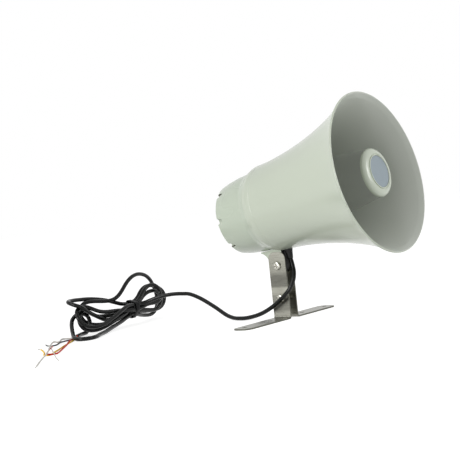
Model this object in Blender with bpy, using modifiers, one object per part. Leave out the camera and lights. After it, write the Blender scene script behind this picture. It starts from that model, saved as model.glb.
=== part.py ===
# Re-entrant horn loudspeaker with a moulded bell, a driver behind it and a two-strap foot bracket.
# Units are metres and +Z is up. The origin is the bottom centre of the box round the speaker
# without its cord. Along the horn, t runs from the rear face to the mouth and r out from its axis.

import math

import bmesh
import bpy
from mathutils import Matrix, Vector

# General fits
GAP = 0.0003
SCREW_CLEARANCE = 0.0003

# Stance of the horn over its bracket
TILT_DEG = 11.0
PIVOT_HEIGHT = 0.070
AXIS_OFFSET = 0.0755
PIVOT_T = 0.049

# Bell
HORN_LENGTH = 0.228
MOUTH_RADIUS = 0.1025
LIP_HEIGHT = 0.0019
LIP_DEPTH = 0.0032
BELL_WALL = 0.0023
FLARE_START_T = 0.062
FLARE_START_RADIUS = 0.0581
FLARE_REAR_SLOPE = 0.02
FLARE_REAR_HANDLE = 0.062
FLARE_FRONT_SLOPE = 0.70
FLARE_FRONT_HANDLE = 0.028
BAND_START_T = 0.046
BAND_WIDTH = 0.003
BAND_RADIUS = 0.0532
COLLAR_STEP = 0.0008
BULKHEAD_T = 0.076
BULKHEAD_THICKNESS = 0.0025
BULKHEAD_HOLE_RADIUS = 0.011
BELL_STEPS = 40

# Rear cover
COVER_REAR_RADIUS = 0.0474
COVER_CORNER = 0.003
COVER_FRONT_RADIUS = 0.0524
COVER_WALL = 0.0025
COVER_SPIGOT_DEPTH = 0.0045
COVER_SPIGOT_WALL = 0.001
GASKET_THICKNESS = 0.001
CHANNEL_COUNT = 8
CHANNEL_RADIUS = 0.0036
CHANNEL_DEPTH = 0.014
COVER_SCREW_CIRCLE = 0.0452
COVER_SCREW_SHANK = 0.0019
COVER_SCREW_HEAD = 0.0029
COVER_SCREW_HEAD_HEIGHT = 0.0022
COVER_SCREW_GRIP = 0.012
BOSS_RADIUS = 0.0036
COLUMN_RADIUS = 0.0054
COLUMN_CIRCLE = 0.0436
PLAIN_COLUMN_DEPTH = 0.018

# Lug and its saddle under the cover
LUG_THICKNESS = 0.0137
LUG_END_RADIUS = 0.0105
LUG_REAR_T = 0.0245
LUG_FRONT_T = 0.0598
SADDLE_START_T = 0.0235
SADDLE_THICKNESS = 0.0019
SADDLE_HALF_ANGLE_DEG = 20.0

# Reflector cup, hub and throat tube
CUP_FRONT_T = 0.2192
CUP_REAR_T = 0.096
CUP_FRONT_RADIUS = 0.0304
CUP_REAR_RADIUS = 0.043
CUP_WALL = 0.0018
CUP_CONE_HEIGHT = 0.012
FIN_COUNT = 3
FIN_THICKNESS = 0.0016
FIN_REAR_T = 0.135
FIN_FRONT_T = 0.180
HUB_RADIUS = 0.031
HUB_FRONT_T = 0.228
DISC_RADIUS = 0.020
DISC_THICKNESS = 0.0006
HUB_RING_WIDTH = 0.002
TUBE_FRONT_T = 0.190
TUBE_REAR_BORE = 0.0095
TUBE_FRONT_BORE = 0.0165
TUBE_WALL = 0.002
TUBE_FLANGE_RADIUS = 0.041
TUBE_FLANGE_THICKNESS = 0.003

# Driver
BACK_PLATE_T = 0.027
BACK_PLATE_RADIUS = 0.036
BACK_PLATE_THICKNESS = 0.006
POLE_RADIUS = 0.0124
MAGNET_RADIUS = 0.0375
MAGNET_BORE = 0.018
MAGNET_THICKNESS = 0.012
TOP_PLATE_RADIUS = 0.0375
TOP_PLATE_THICKNESS = 0.005
COIL_CLEARANCE = 0.0005
COIL_WALL = 0.0008
COIL_LENGTH = 0.0058
CLAMP_RING_THICKNESS = 0.002
CLAMP_RING_RADIUS = 0.030
DOME_HEIGHT = 0.0045
DIAPHRAGM_WALL = 0.0005
SURROUND_WIDTH = 0.0055
COIL_TRAVEL = 0.0003
DRIVER_COVER_RADIUS = 0.0372
DRIVER_COVER_RIM = 0.0055
DRIVER_NECK_RADIUS = 0.022
DRIVER_FLANGE_RADIUS = 0.0405
DRIVER_FLANGE_THICKNESS = 0.004
DRIVER_THROAT_RADIUS = 0.0088
PLUG_ANNULUS = 0.0014
PLUG_LENGTH = 0.013
DRIVER_SCREW_CIRCLE = 0.0325
FLANGE_SCREW_CIRCLE = 0.036
SMALL_SHANK = 0.0015
SMALL_HEAD = 0.0026
SMALL_HEAD_HEIGHT = 0.002

# Line transformer
CORE_WIDTH = 0.036
CORE_HEIGHT = 0.030
CORE_STACK = 0.0145
CORE_LEG = 0.010
CORE_WINDOW = 0.008
CORE_STANDOFF = 0.0035
WINDING_OVERHANG = 0.0032
TRANSFORMER_STRAP = 0.0008
TRANSFORMER_EAR = 0.009

# Bracket
STRAP_WIDTH = 0.026
STRAP_THICKNESS = 0.002
STRAP_TOP_ABOVE_PIVOT = 0.018
STRAP_CORNER = 0.009
STRAP_BEND = 0.0015
FOOT_REACH = 0.1036
FOOT_HOLE_RADIUS = 0.0033
FOOT_HOLE_INNER = 0.037
FOOT_HOLE_OUTER = 0.0925
BRACKET_SCREW_RADIUS = 0.0025
BRACKET_HEAD_RADIUS = 0.0047
BRACKET_HEAD_HEIGHT = 0.003
LOWER_SCREW_HEIGHT = 0.027
SPACER_RADIUS = 0.0045
NUT_ACROSS_FLATS = 0.008
NUT_HEIGHT = 0.004
WASHER_RADIUS = 0.005
WASHER_THICKNESS = 0.001
SCREW_END = 0.0015

# Cord
CORD_DIAMETER = 0.005
GLAND_T = 0.0665
GLAND_NECK_RADIUS = 0.0042
GLAND_FLANGE_RADIUS = 0.006
GLAND_OUTER_RADIUS = 0.0052
GLAND_TIP_RADIUS = 0.0032
GLAND_LENGTH = 0.0125
GLAND_FLANGE = 0.002
LEAD_RADIUS = 0.044
LEAD_END_T = 0.024
HANK_REAR_END = Vector((-0.250, 0.040, 0.0))
HANK_REAR_RADIUS = 0.0145
HANK_FRONT_END = Vector((-0.226, -0.143, 0.0))
HANK_FRONT_RADIUS = 0.035
HANK_HEIGHT = 0.050
HANK_ENTRY_HEIGHT = 0.0325
HANK_ENTRY_PLACE = 0.34
HANK_TIE_WIDTH = 0.010
HANK_TIE_THICKNESS = 0.0015
HANK_TIE_PLACE = 0.40
CORE_DIAMETER = 0.0016

# Route of the cord from the gland's tip to the hank, from the pivot's foot on the floor
CORD_ROUTE = (
    (0.0183, -0.0012, 0.0685),
    (0.0222, -0.0050, 0.0590),
    (0.0234, -0.0098, 0.0505),
    (0.0198, -0.0138, 0.0432),
    (0.0124, -0.0156, 0.0378),
    (0.0026, -0.0166, 0.0300),
    (-0.0085, -0.0172, 0.0226),
    (-0.0262, -0.0178, 0.0130),
    (-0.0455, -0.0180, 0.0058),
    (-0.0655, -0.0176, 0.0029),
    (-0.0860, -0.0130, 0.0058),
    (-0.1120, -0.0080, 0.0180),
    (-0.1400, -0.0040, 0.0305),
    (-0.1620, -0.0008, 0.0366),
    (-0.1813, -0.0013, 0.0382),
    (-0.1989, -0.0050, 0.0379),
)
CORD_POINT_STEP = 0.0095

# Each bare-ended core: its bearing round the hank's front end and its points over the floor
CORE_ROUTES = {
    "core_red": (
        -69.0,
        (
            (-0.203, -0.195, 0.0011),
            (-0.177, -0.232, 0.0011),
            (-0.163, -0.252, 0.0022),
            (-0.163, -0.264, 0.0032),
            (-0.176, -0.265, 0.0032),
            (-0.196, -0.251, 0.0030),
            (-0.209, -0.238, 0.0040),
            (-0.203, -0.229, 0.0060),
            (-0.188, -0.240, 0.0064),
            (-0.164, -0.263, 0.0070),
            (-0.134, -0.289, 0.0035),
            (-0.098, -0.318, 0.0011),
        ),
    ),
    "core_yellow": (
        -75.0,
        (
            (-0.199, -0.207, 0.0011),
            (-0.184, -0.234, 0.0011),
            (-0.167, -0.259, 0.0011),
            (-0.152, -0.281, 0.0011),
            (-0.160, -0.289, 0.0011),
            (-0.186, -0.267, 0.0011),
            (-0.211, -0.247, 0.0011),
        ),
    ),
    "core_black": (
        -95.0,
        (
            (-0.229, -0.186, 0.0011),
            (-0.214, -0.211, 0.0011),
            (-0.213, -0.222, 0.0011),
            (-0.224, -0.222, 0.0011),
            (-0.234, -0.215, 0.0011),
        ),
    ),
    "core_white": (
        -107.0,
        (
            (-0.238, -0.184, 0.0026),
            (-0.222, -0.203, 0.0032),
            (-0.209, -0.217, 0.0062),
            (-0.196, -0.232, 0.0094),
            (-0.183, -0.247, 0.0088),
            (-0.168, -0.265, 0.0058),
            (-0.152, -0.285, 0.0034),
            (-0.128, -0.318, 0.0011),
            (-0.093, -0.359, 0.0011),
        ),
    ),
}

TILT = math.radians(TILT_DEG)
COLLECTION = "pa_horn_speaker"


def new_collection(name):
    collection = bpy.data.collections.new(name)
    bpy.context.scene.collection.children.link(collection)
    return collection


def clear_scene():
    for obj in list(bpy.data.objects):
        bpy.data.objects.remove(obj, do_unlink=True)


def material(name, colour, roughness, metallic=0.0):
    made = bpy.data.materials.new(name)
    made.use_nodes = True
    shader = made.node_tree.nodes["Principled BSDF"]
    shader.inputs["Base Color"].default_value = (*colour, 1.0)
    shader.inputs["Roughness"].default_value = roughness
    shader.inputs["Metallic"].default_value = metallic
    return made


def empty(name, parent=None, location=(0, 0, 0), turn=(0, 0, 0)):
    obj = bpy.data.objects.new(name, None)
    obj.location = location
    obj.rotation_euler = turn
    obj.parent = parent
    PARTS.objects.link(obj)
    return obj


def place(obj, parent, location=(0, 0, 0), turn=(0, 0, 0), finish=None):
    """Puts an object in the model under its parent, with its finish and smooth round faces."""
    obj.parent = parent
    obj.location = location
    obj.rotation_euler = turn
    PARTS.objects.link(obj)
    if finish:
        obj.data.materials.append(finish)
        obj.data.shade_smooth()
        obj.data.set_sharp_from_angle(angle=math.radians(35))
    return obj


def as_cutter(obj):
    if obj.name in PARTS.objects:
        PARTS.objects.unlink(obj)
        CUTTERS.objects.link(obj)
    obj.hide_render = True
    obj.display_type = "WIRE"
    return obj


def boolean(obj, other, operation="DIFFERENCE"):
    """Cuts or joins one helper mesh, which stays in the cutters' collection."""
    modifier = obj.modifiers.new(operation.title(), "BOOLEAN")
    modifier.operation = operation
    modifier.solver = "EXACT"
    modifier.object = as_cutter(other)
    return obj


def turned(name, profile, parent, finish=None, steps=24, location=(0, 0, 0), turn=(0, 0, 0)):
    """A turned solid. The profile holds (radius, height) down its outer side from the top, then back
    up inside. A profile that starts and ends on the axis is left open there."""
    solid = profile[0][0] == 0 and profile[-1][0] == 0
    mesh = bpy.data.meshes.new(name)
    edges = [(i, i + 1) for i in range(len(profile) - 1)]
    if not solid:
        edges.append((len(profile) - 1, 0))
    mesh.from_pydata([(r, 0, z) for r, z in profile], edges, [])
    obj = bpy.data.objects.new(name, mesh)
    place(obj, parent, location, turn, None)
    if finish:
        mesh.materials.append(finish)
    screw = obj.modifiers.new("Screw", "SCREW")
    screw.axis = "Z"
    screw.angle = 2 * math.pi
    screw.steps = steps
    screw.render_steps = steps
    screw.use_merge_vertices = True
    screw.merge_threshold = 0.00001
    screw.use_smooth_shade = True
    return obj


def rod(
    name, radius, low, high, parent, location=(0, 0, 0), turn=(0, 0, 0), finish=None, sides=24, spots=((0, 0),)
):
    """A plain cylinder along its own Z from low to high, or one at each of several spots."""
    mesh = bpy.data.meshes.new(name)
    shape = bmesh.new()
    for x, y in spots:
        middle = Matrix.Translation((x, y, (low + high) / 2))
        bmesh.ops.create_cone(
            shape, cap_ends=True, segments=sides, radius1=radius, radius2=radius, depth=high - low,
            matrix=middle
        )
    shape.to_mesh(mesh)
    shape.free()
    return place(bpy.data.objects.new(name, mesh), parent, location, turn, finish)


def box(name, low, high, parent, location=(0, 0, 0), turn=(0, 0, 0), finish=None):
    mesh = bpy.data.meshes.new(name)
    shape = bmesh.new()
    size = Vector(high) - Vector(low)
    middle = (Vector(high) + Vector(low)) / 2
    where = Matrix.Translation(middle) @ Matrix.Diagonal((*size, 1.0))
    bmesh.ops.create_cube(shape, size=1.0, matrix=where)
    shape.to_mesh(mesh)
    shape.free()
    return place(bpy.data.objects.new(name, mesh), parent, location, turn, finish)


def plate(name, outlines, low, high, parent, location=(0, 0, 0), turn=(0, 0, 0), finish=None):
    """A flat outline in its own XY plane, with any holes, from low to high along Z, as a mesh."""
    curve = bpy.data.curves.new(name, "CURVE")
    curve.dimensions = "2D"
    curve.fill_mode = "BOTH"
    curve.extrude = (high - low) / 2
    for outline in outlines:
        spline = curve.splines.new("POLY")
        spline.points.add(len(outline) - 1)
        for point, (x, y) in zip(spline.points, outline):
            point.co = (x, y, 0, 1)
        spline.use_cyclic_u = True
    guide = bpy.data.objects.new(name, curve)
    CUTTERS.objects.link(guide)
    graph = bpy.context.evaluated_depsgraph_get()
    mesh = bpy.data.meshes.new_from_object(guide.evaluated_get(graph))
    bpy.data.objects.remove(guide)
    bpy.data.curves.remove(curve)
    shape = bmesh.new()
    shape.from_mesh(mesh)
    bmesh.ops.remove_doubles(shape, verts=shape.verts, dist=0.000001)
    bmesh.ops.translate(shape, verts=shape.verts, vec=(0, 0, (low + high) / 2))
    bmesh.ops.recalc_face_normals(shape, faces=shape.faces)
    shape.to_mesh(mesh)
    shape.free()
    mesh.name = name
    return place(bpy.data.objects.new(name, mesh), parent, location, turn, finish)


def tube(name, points, radius, parent, finish, resolution=2):
    """A round wire along its points, with filled ends."""
    curve = bpy.data.curves.new(name, "CURVE")
    curve.dimensions = "3D"
    curve.bevel_depth = radius
    curve.bevel_resolution = resolution
    curve.use_fill_caps = True
    spline = curve.splines.new("POLY")
    spline.points.add(len(points) - 1)
    for point, where in zip(spline.points, points):
        point.co = (*where, 1)
    curve.materials.append(finish)
    obj = bpy.data.objects.new(name, curve)
    obj.parent = parent
    PARTS.objects.link(obj)
    return obj


def smooth_route(points, step):
    """Points every step along a smooth curve through the given points."""
    knots = [Vector(p) for p in points]
    knots = [2 * knots[0] - knots[1], *knots, 2 * knots[-1] - knots[-2]]
    fine = []
    for a, b, c, d in zip(knots, knots[1:], knots[2:], knots[3:]):
        for i in range(24):
            u = i / 24
            fine.append(
                0.5 * (
                    2 * b + (c - a) * u + (2 * a - 5 * b + 4 * c - d) * u**2 + (3 * b - a - 3 * c + d) * u**3
                )
            )
    fine.append(knots[-2])
    lengths = [0.0]
    for a, b in zip(fine, fine[1:]):
        lengths.append(lengths[-1] + (b - a).length)
    count = max(3, round(lengths[-1] / step) + 1)
    route = []
    place_in = 0
    for i in range(count):
        wanted = lengths[-1] * i / (count - 1)
        while place_in < len(lengths) - 2 and lengths[place_in + 1] < wanted:
            place_in += 1
        span = lengths[place_in + 1] - lengths[place_in]
        share = (wanted - lengths[place_in]) / span if span else 0
        route.append(fine[place_in].lerp(fine[place_in + 1], min(1.0, share)))
    return route


def arc(centre, radius, start_deg, end_deg, count):
    """Points round a centre, both ends included."""
    angles = [math.radians(start_deg + (end_deg - start_deg) * i / (count - 1)) for i in range(count)]
    return [(centre[0] + radius * math.cos(a), centre[1] + radius * math.sin(a)) for a in angles]


def on_circle(radius, angle_deg):
    """A point round the horn's axis. Zero degrees is straight down towards the bracket."""
    angle = math.radians(angle_deg)
    return radius * math.cos(angle), radius * math.sin(angle)


def pan_screw(name, head_radius, head_height, shank_radius, length, parent, location, turn, finish, steps=12):
    """A pan-head screw whose head stands above its own z = 0 and whose shank runs down from it."""
    shoulder = head_radius * 0.55
    profile = [
        (0, head_height),
        (shoulder, head_height * 0.96),
        (head_radius * 0.88, head_height * 0.72),
        (head_radius, head_height * 0.30),
        (head_radius, 0),
        (shank_radius, 0),
        (shank_radius, -length + shank_radius * 0.5),
        (shank_radius * 0.6, -length),
        (0, -length),
    ]
    screw = turned(name, profile, parent, finish, steps, location, turn)
    slot = head_radius * 0.14
    reach = head_radius * 0.55
    depth = head_height * 0.55
    for i, (x, y) in enumerate(((reach, slot), (slot, reach))):
        low = (-x, -y, head_height - depth + i * 0.00004)
        boolean(screw, box(f"{name}_recess_{i}", low, (x, y, head_height * 1.5), parent, location, turn))
    return screw


def hexagon_nut(name, height, bore, parent, location, turn, finish):
    across = NUT_ACROSS_FLATS / math.sqrt(3)
    rim = arc((0, 0), across, 0, 300, 6)
    hole = arc((0, 0), bore, 0, 345, 24)
    return plate(name, (rim, hole), 0, height, parent, location, turn, finish)


def ring(name, outer, inner, low, high, parent, finish, steps=24, location=(0, 0, 0), turn=(0, 0, 0)):
    profile = [(outer, high), (outer, low), (inner, low), (inner, high)]
    return turned(name, profile, parent, finish, steps, location, turn)


# Places that several pieces share
TUBE_FLANGE_T = BULKHEAD_T + BULKHEAD_THICKNESS + GAP
COVER_FRONT_T = BAND_START_T - GASKET_THICKNESS - 2 * GAP
MAGNET_T = BACK_PLATE_T + BACK_PLATE_THICKNESS + GAP
TOP_PLATE_T = MAGNET_T + MAGNET_THICKNESS + GAP
TOP_PLATE_FRONT = TOP_PLATE_T + TOP_PLATE_THICKNESS
CLAMP_RING_T = TOP_PLATE_FRONT + GAP
DRIVER_COVER_T = CLAMP_RING_T + CLAMP_RING_THICKNESS + GAP
DRIVER_GASKET_T = BULKHEAD_T - GASKET_THICKNESS - GAP
DRIVER_FRONT_T = DRIVER_GASKET_T - GAP
COIL_RADIUS = POLE_RADIUS + COIL_CLEARANCE + COIL_WALL
COIL_FRONT_T = DRIVER_COVER_T - GAP
DIAPHRAGM_RADIUS = COIL_RADIUS + SURROUND_WIDTH
DOME_BASE_T = COIL_FRONT_T + GAP
CLAMP_RING_BORE = DIAPHRAGM_RADIUS + GAP
STRAP_INNER = LUG_THICKNESS / 2 + GAP
STRAP_OUTER = STRAP_INNER + STRAP_THICKNESS


def horn_point(t, r=0.0):
    """(x, z) from the pivot's foot of a point on the horn's underside line, r below its axis."""
    along = t - PIVOT_T
    across = AXIS_OFFSET - r
    x = along * math.cos(TILT) - across * math.sin(TILT)
    z = PIVOT_HEIGHT + along * math.sin(TILT) + across * math.cos(TILT)
    return x, z


def centre_offset():
    """How far the middle of the speaker's box lies in front of the pivot."""
    corner_t = COVER_CORNER
    corner_r = COVER_REAR_RADIUS - COVER_CORNER
    rear = horn_point(corner_t, -corner_r)[0] - COVER_CORNER
    front = horn_point(HORN_LENGTH, MOUTH_RADIUS)[0]
    return (rear + front) / 2


def flare_point(u):
    """(t, r) on the bell's outer flare, which is one cubic from the collar to the lip."""
    end_t = HORN_LENGTH - LIP_DEPTH
    end_r = MOUTH_RADIUS - LIP_HEIGHT
    corners = (
        (FLARE_START_T, FLARE_START_RADIUS),
        (FLARE_START_T + FLARE_REAR_HANDLE, FLARE_START_RADIUS + FLARE_REAR_HANDLE * FLARE_REAR_SLOPE),
        (end_t - FLARE_FRONT_HANDLE, end_r - FLARE_FRONT_HANDLE * FLARE_FRONT_SLOPE),
        (end_t, end_r),
    )
    weights = ((1 - u) ** 3, 3 * (1 - u) ** 2 * u, 3 * (1 - u) * u**2, u**3)
    t = sum(w * c[0] for w, c in zip(weights, corners))
    r = sum(w * c[1] for w, c in zip(weights, corners))
    return t, r


def collar_points():
    """(t, r) along the rounded shoulder between the bell's band and its flare."""
    start_t = BAND_START_T + BAND_WIDTH
    start_r = BAND_RADIUS + COLLAR_STEP
    points = []
    for i in range(5):
        u = i / 5
        points.append(
            (
                start_t + (FLARE_START_T - start_t) * u,
                start_r + (FLARE_START_RADIUS - start_r) * math.sin(u * math.pi / 2) ** 1.3,
            )
        )
    return points


def bell_outer():
    """(t, r) from the band to the lip."""
    band = [(BAND_START_T, BAND_RADIUS), (BAND_START_T + BAND_WIDTH, BAND_RADIUS)]
    flare = [flare_point(i / 11) for i in range(12)]
    return band + collar_points() + flare


def inset(points, wall):
    """The same line moved in by the wall, square to itself."""
    moved = []
    for i, (t, r) in enumerate(points):
        before = points[max(0, i - 1)]
        after = points[min(len(points) - 1, i + 1)]
        run = after[0] - before[0]
        rise = after[1] - before[1]
        length = math.hypot(run, rise)
        moved.append((t + wall * rise / length, r - wall * run / length))
    return moved


def height_at(points, t):
    """The radius of a line of (t, r) points at one t."""
    for (t0, r0), (t1, r1) in zip(points, points[1:]):
        if t0 <= t <= t1 and t1 > t0:
            return r0 + (r1 - r0) * (t - t0) / (t1 - t0)
    return points[-1][1] if t > points[-1][0] else points[0][1]


def cover_outer():
    """(t, r) of the rear cover from its rear face to its front edge."""
    corner = [
        (COVER_CORNER * (1 - math.cos(a)), COVER_REAR_RADIUS - COVER_CORNER * (1 - math.sin(a)))
        for a in (math.radians(x) for x in (0, 30, 60, 90))
    ]
    rise = COVER_FRONT_RADIUS - COVER_REAR_RADIUS
    side = []
    for share in (0.25, 0.5, 0.75, 1.0):
        t = COVER_CORNER + (COVER_FRONT_T - COVER_CORNER) * share
        side.append((t, COVER_REAR_RADIUS + rise * math.sin(share * math.pi / 2) ** 0.8))
    return corner + side


def make_bell(axis, finish):
    outer = bell_outer()
    inner = inset(outer, BELL_WALL)
    chamber = [p for p in inner if BAND_START_T < p[0] < BULKHEAD_T - BELL_WALL]
    throat_t = BULKHEAD_T + BULKHEAD_THICKNESS
    fillet = 2 * BELL_WALL
    throat = [p for p in inner if throat_t + 2 * fillet < p[0] < HORN_LENGTH - LIP_DEPTH]
    wall_at_bulkhead = height_at(inner, BULKHEAD_T)
    lip = [
        (MOUTH_RADIUS - LIP_HEIGHT * 0.7, HORN_LENGTH - LIP_DEPTH * 0.05),
        (MOUTH_RADIUS - LIP_HEIGHT * 0.2, HORN_LENGTH - LIP_DEPTH * 0.15),
        (MOUTH_RADIUS, HORN_LENGTH - LIP_DEPTH * 0.45),
        (MOUTH_RADIUS - LIP_HEIGHT * 0.25, HORN_LENGTH - LIP_DEPTH * 0.85),
    ]
    profile = [(outer[-1][1] - BELL_WALL * 0.45, HORN_LENGTH)] + lip
    profile += [(r, t) for t, r in reversed(outer)]
    band_bore = height_at(inner, BAND_START_T + BAND_WIDTH)
    profile += [(band_bore, BAND_START_T)]
    profile += [(r, t) for t, r in chamber if t > BAND_START_T + BAND_WIDTH]
    profile += [(wall_at_bulkhead, BULKHEAD_T), (BULKHEAD_HOLE_RADIUS, BULKHEAD_T)]
    profile += [(BULKHEAD_HOLE_RADIUS, throat_t), (wall_at_bulkhead - fillet, throat_t)]
    profile += [(wall_at_bulkhead - fillet * 0.25, throat_t + fillet * 0.5)]
    profile += [(r, t) for t, r in throat]
    profile += [(outer[-1][1] - BELL_WALL * 1.05, HORN_LENGTH - LIP_DEPTH * 0.35)]
    bell = turned("horn_bell", profile, axis, finish, BELL_STEPS)
    add_saddle(bell, axis)
    add_lug(bell, axis, outer)
    add_cover_bosses(bell, axis)
    cut_bell_holes(bell, axis)
    return bell


def add_saddle(bell, axis):
    """The tongue of the bell that lies under the cover and carries the rear of the lug."""
    cover = cover_outer()
    front_t = BAND_START_T + BAND_WIDTH / 2
    under = []
    for i in range(5):
        t = SADDLE_START_T + (front_t - SADDLE_START_T) * i / 4
        under.append((t, height_at(cover, min(t, COVER_FRONT_T)) + GAP))
    over = [(t, r + SADDLE_THICKNESS) for t, r in under]
    over[0] = (over[0][0] + SADDLE_THICKNESS * 0.6, over[0][1])
    profile = [(r, t) for t, r in reversed(over)] + [(r, t) for t, r in under]
    mesh = bpy.data.meshes.new("saddle")
    shape = bmesh.new()
    verts = [shape.verts.new((r, 0, t)) for r, t in profile]
    face = shape.faces.new(verts)
    half = math.radians(SADDLE_HALF_ANGLE_DEG)
    bmesh.ops.rotate(shape, verts=verts, matrix=Matrix.Rotation(-half, 3, "Z"))
    spun = bmesh.ops.spin(
        shape, geom=[face, *face.edges, *verts], axis=(0, 0, 1), cent=(0, 0, 0), angle=2 * half, steps=8
    )
    end = [f for f in spun["geom_last"] if isinstance(f, bmesh.types.BMFace)]
    if not end:
        shape.faces.new([v for v in spun["geom_last"] if isinstance(v, bmesh.types.BMVert)])
    bmesh.ops.remove_doubles(shape, verts=shape.verts, dist=0.000001)
    bmesh.ops.recalc_face_normals(shape, faces=shape.faces)
    shape.to_mesh(mesh)
    shape.free()
    boolean(bell, place(bpy.data.objects.new("saddle", mesh), axis), "UNION")


def add_lug(bell, axis, outer):
    """The web that the bracket clamps: flared behind, straight in front, round at the pivot."""
    sunk = BELL_WALL * 0.55
    cover = cover_outer()
    root_front = [
        (height_at(outer, t) - sunk, t)
        for t in (BAND_START_T + BAND_WIDTH, (BAND_START_T + LUG_FRONT_T) / 2, LUG_FRONT_T)
    ]
    root_rear = [
        (height_at(cover, t) + GAP + SADDLE_THICKNESS * 0.5, t)
        for t in (LUG_REAR_T, (LUG_REAR_T + COVER_FRONT_T) / 2, COVER_FRONT_T)
    ]
    end = arc((AXIS_OFFSET, PIVOT_T), LUG_END_RADIUS, 90, -70, 12)
    foot = (end[-1][0] - AXIS_OFFSET, end[-1][1])
    saddle_face = height_at(cover, LUG_REAR_T) + GAP + SADDLE_THICKNESS
    depth = AXIS_OFFSET - saddle_face
    flare = [
        (saddle_face + depth * 0.62, foot[1] - LUG_END_RADIUS * 0.18),
        (saddle_face + depth * 0.40, LUG_REAR_T + (foot[1] - LUG_REAR_T) * 0.66),
        (saddle_face + depth * 0.20, LUG_REAR_T + (foot[1] - LUG_REAR_T) * 0.42),
        (saddle_face + depth * 0.07, LUG_REAR_T + (foot[1] - LUG_REAR_T) * 0.18),
    ]
    outline = root_rear + root_front + end + flare
    half = LUG_THICKNESS / 2
    turn = (math.radians(90), 0, 0)
    lug = plate("lug", (outline,), -half, half, axis, (0, 0, 0), turn)
    boolean(bell, lug, "UNION")


def cover_screw_angles():
    """Every second channel of the cover holds a screw."""
    step = 360 / CHANNEL_COUNT
    return [step * (2 * i + 1) for i in range(CHANNEL_COUNT // 2)]


def add_cover_bosses(bell, axis):
    """Four bosses for the cover's screws, each on a rib to the bell's wall and the bulkhead behind."""
    low = COVER_FRONT_T + GAP
    spots = [on_circle(COVER_SCREW_CIRCLE, a) for a in cover_screw_angles()]
    boolean(bell, rod("bosses", BOSS_RADIUS, low, BULKHEAD_T + GAP, axis, sides=12, spots=spots), "UNION")
    rib_end = BAND_RADIUS - BELL_WALL * 0.2
    rib_t = BAND_START_T + BAND_WIDTH + BOSS_RADIUS
    half = BELL_WALL / 2
    for i, angle in enumerate(cover_screw_angles()):
        rib_low = (COVER_SCREW_CIRCLE, -half, rib_t)
        rib_high = (rib_end, half, BULKHEAD_T + 2 * GAP)
        boolean(
            bell, box(f"boss_rib_{i}", rib_low, rib_high, axis, turn=(0, 0, math.radians(angle))), "UNION"
        )
    hole = COVER_SCREW_SHANK + SCREW_CLEARANCE
    depth = COVER_FRONT_T + COVER_SCREW_GRIP + 2 * GAP
    boolean(bell, rod("boss_holes", hole, low - GAP, depth, axis, sides=12, spots=spots))


def flange_screw_angles():
    return [60 + 120 * i for i in range(3)]


def cut_bell_holes(bell, axis):
    turn_across = (math.radians(90), 0, 0)
    pivot = (AXIS_OFFSET, 0, PIVOT_T)
    bore = BRACKET_SCREW_RADIUS + SCREW_CLEARANCE
    boolean(bell, rod("pivot_hole", bore, -LUG_THICKNESS, LUG_THICKNESS, axis, pivot, turn_across))
    radial = (0, math.radians(90), 0)
    hole = GLAND_NECK_RADIUS + GAP
    gland_low = LEAD_RADIUS
    gland_high = AXIS_OFFSET
    boolean(bell, rod("gland_hole", hole, gland_low, gland_high, axis, (0, 0, GLAND_T), radial))
    for i, angle in enumerate(flange_screw_angles()):
        x, y = on_circle(FLANGE_SCREW_CIRCLE, angle)
        low = BULKHEAD_T - GAP
        high = TUBE_FLANGE_T + GAP
        hole = SMALL_SHANK + SCREW_CLEARANCE
        boolean(bell, rod(f"flange_hole_{i}", hole, low, high, axis, (x, y, 0), sides=12))


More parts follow.
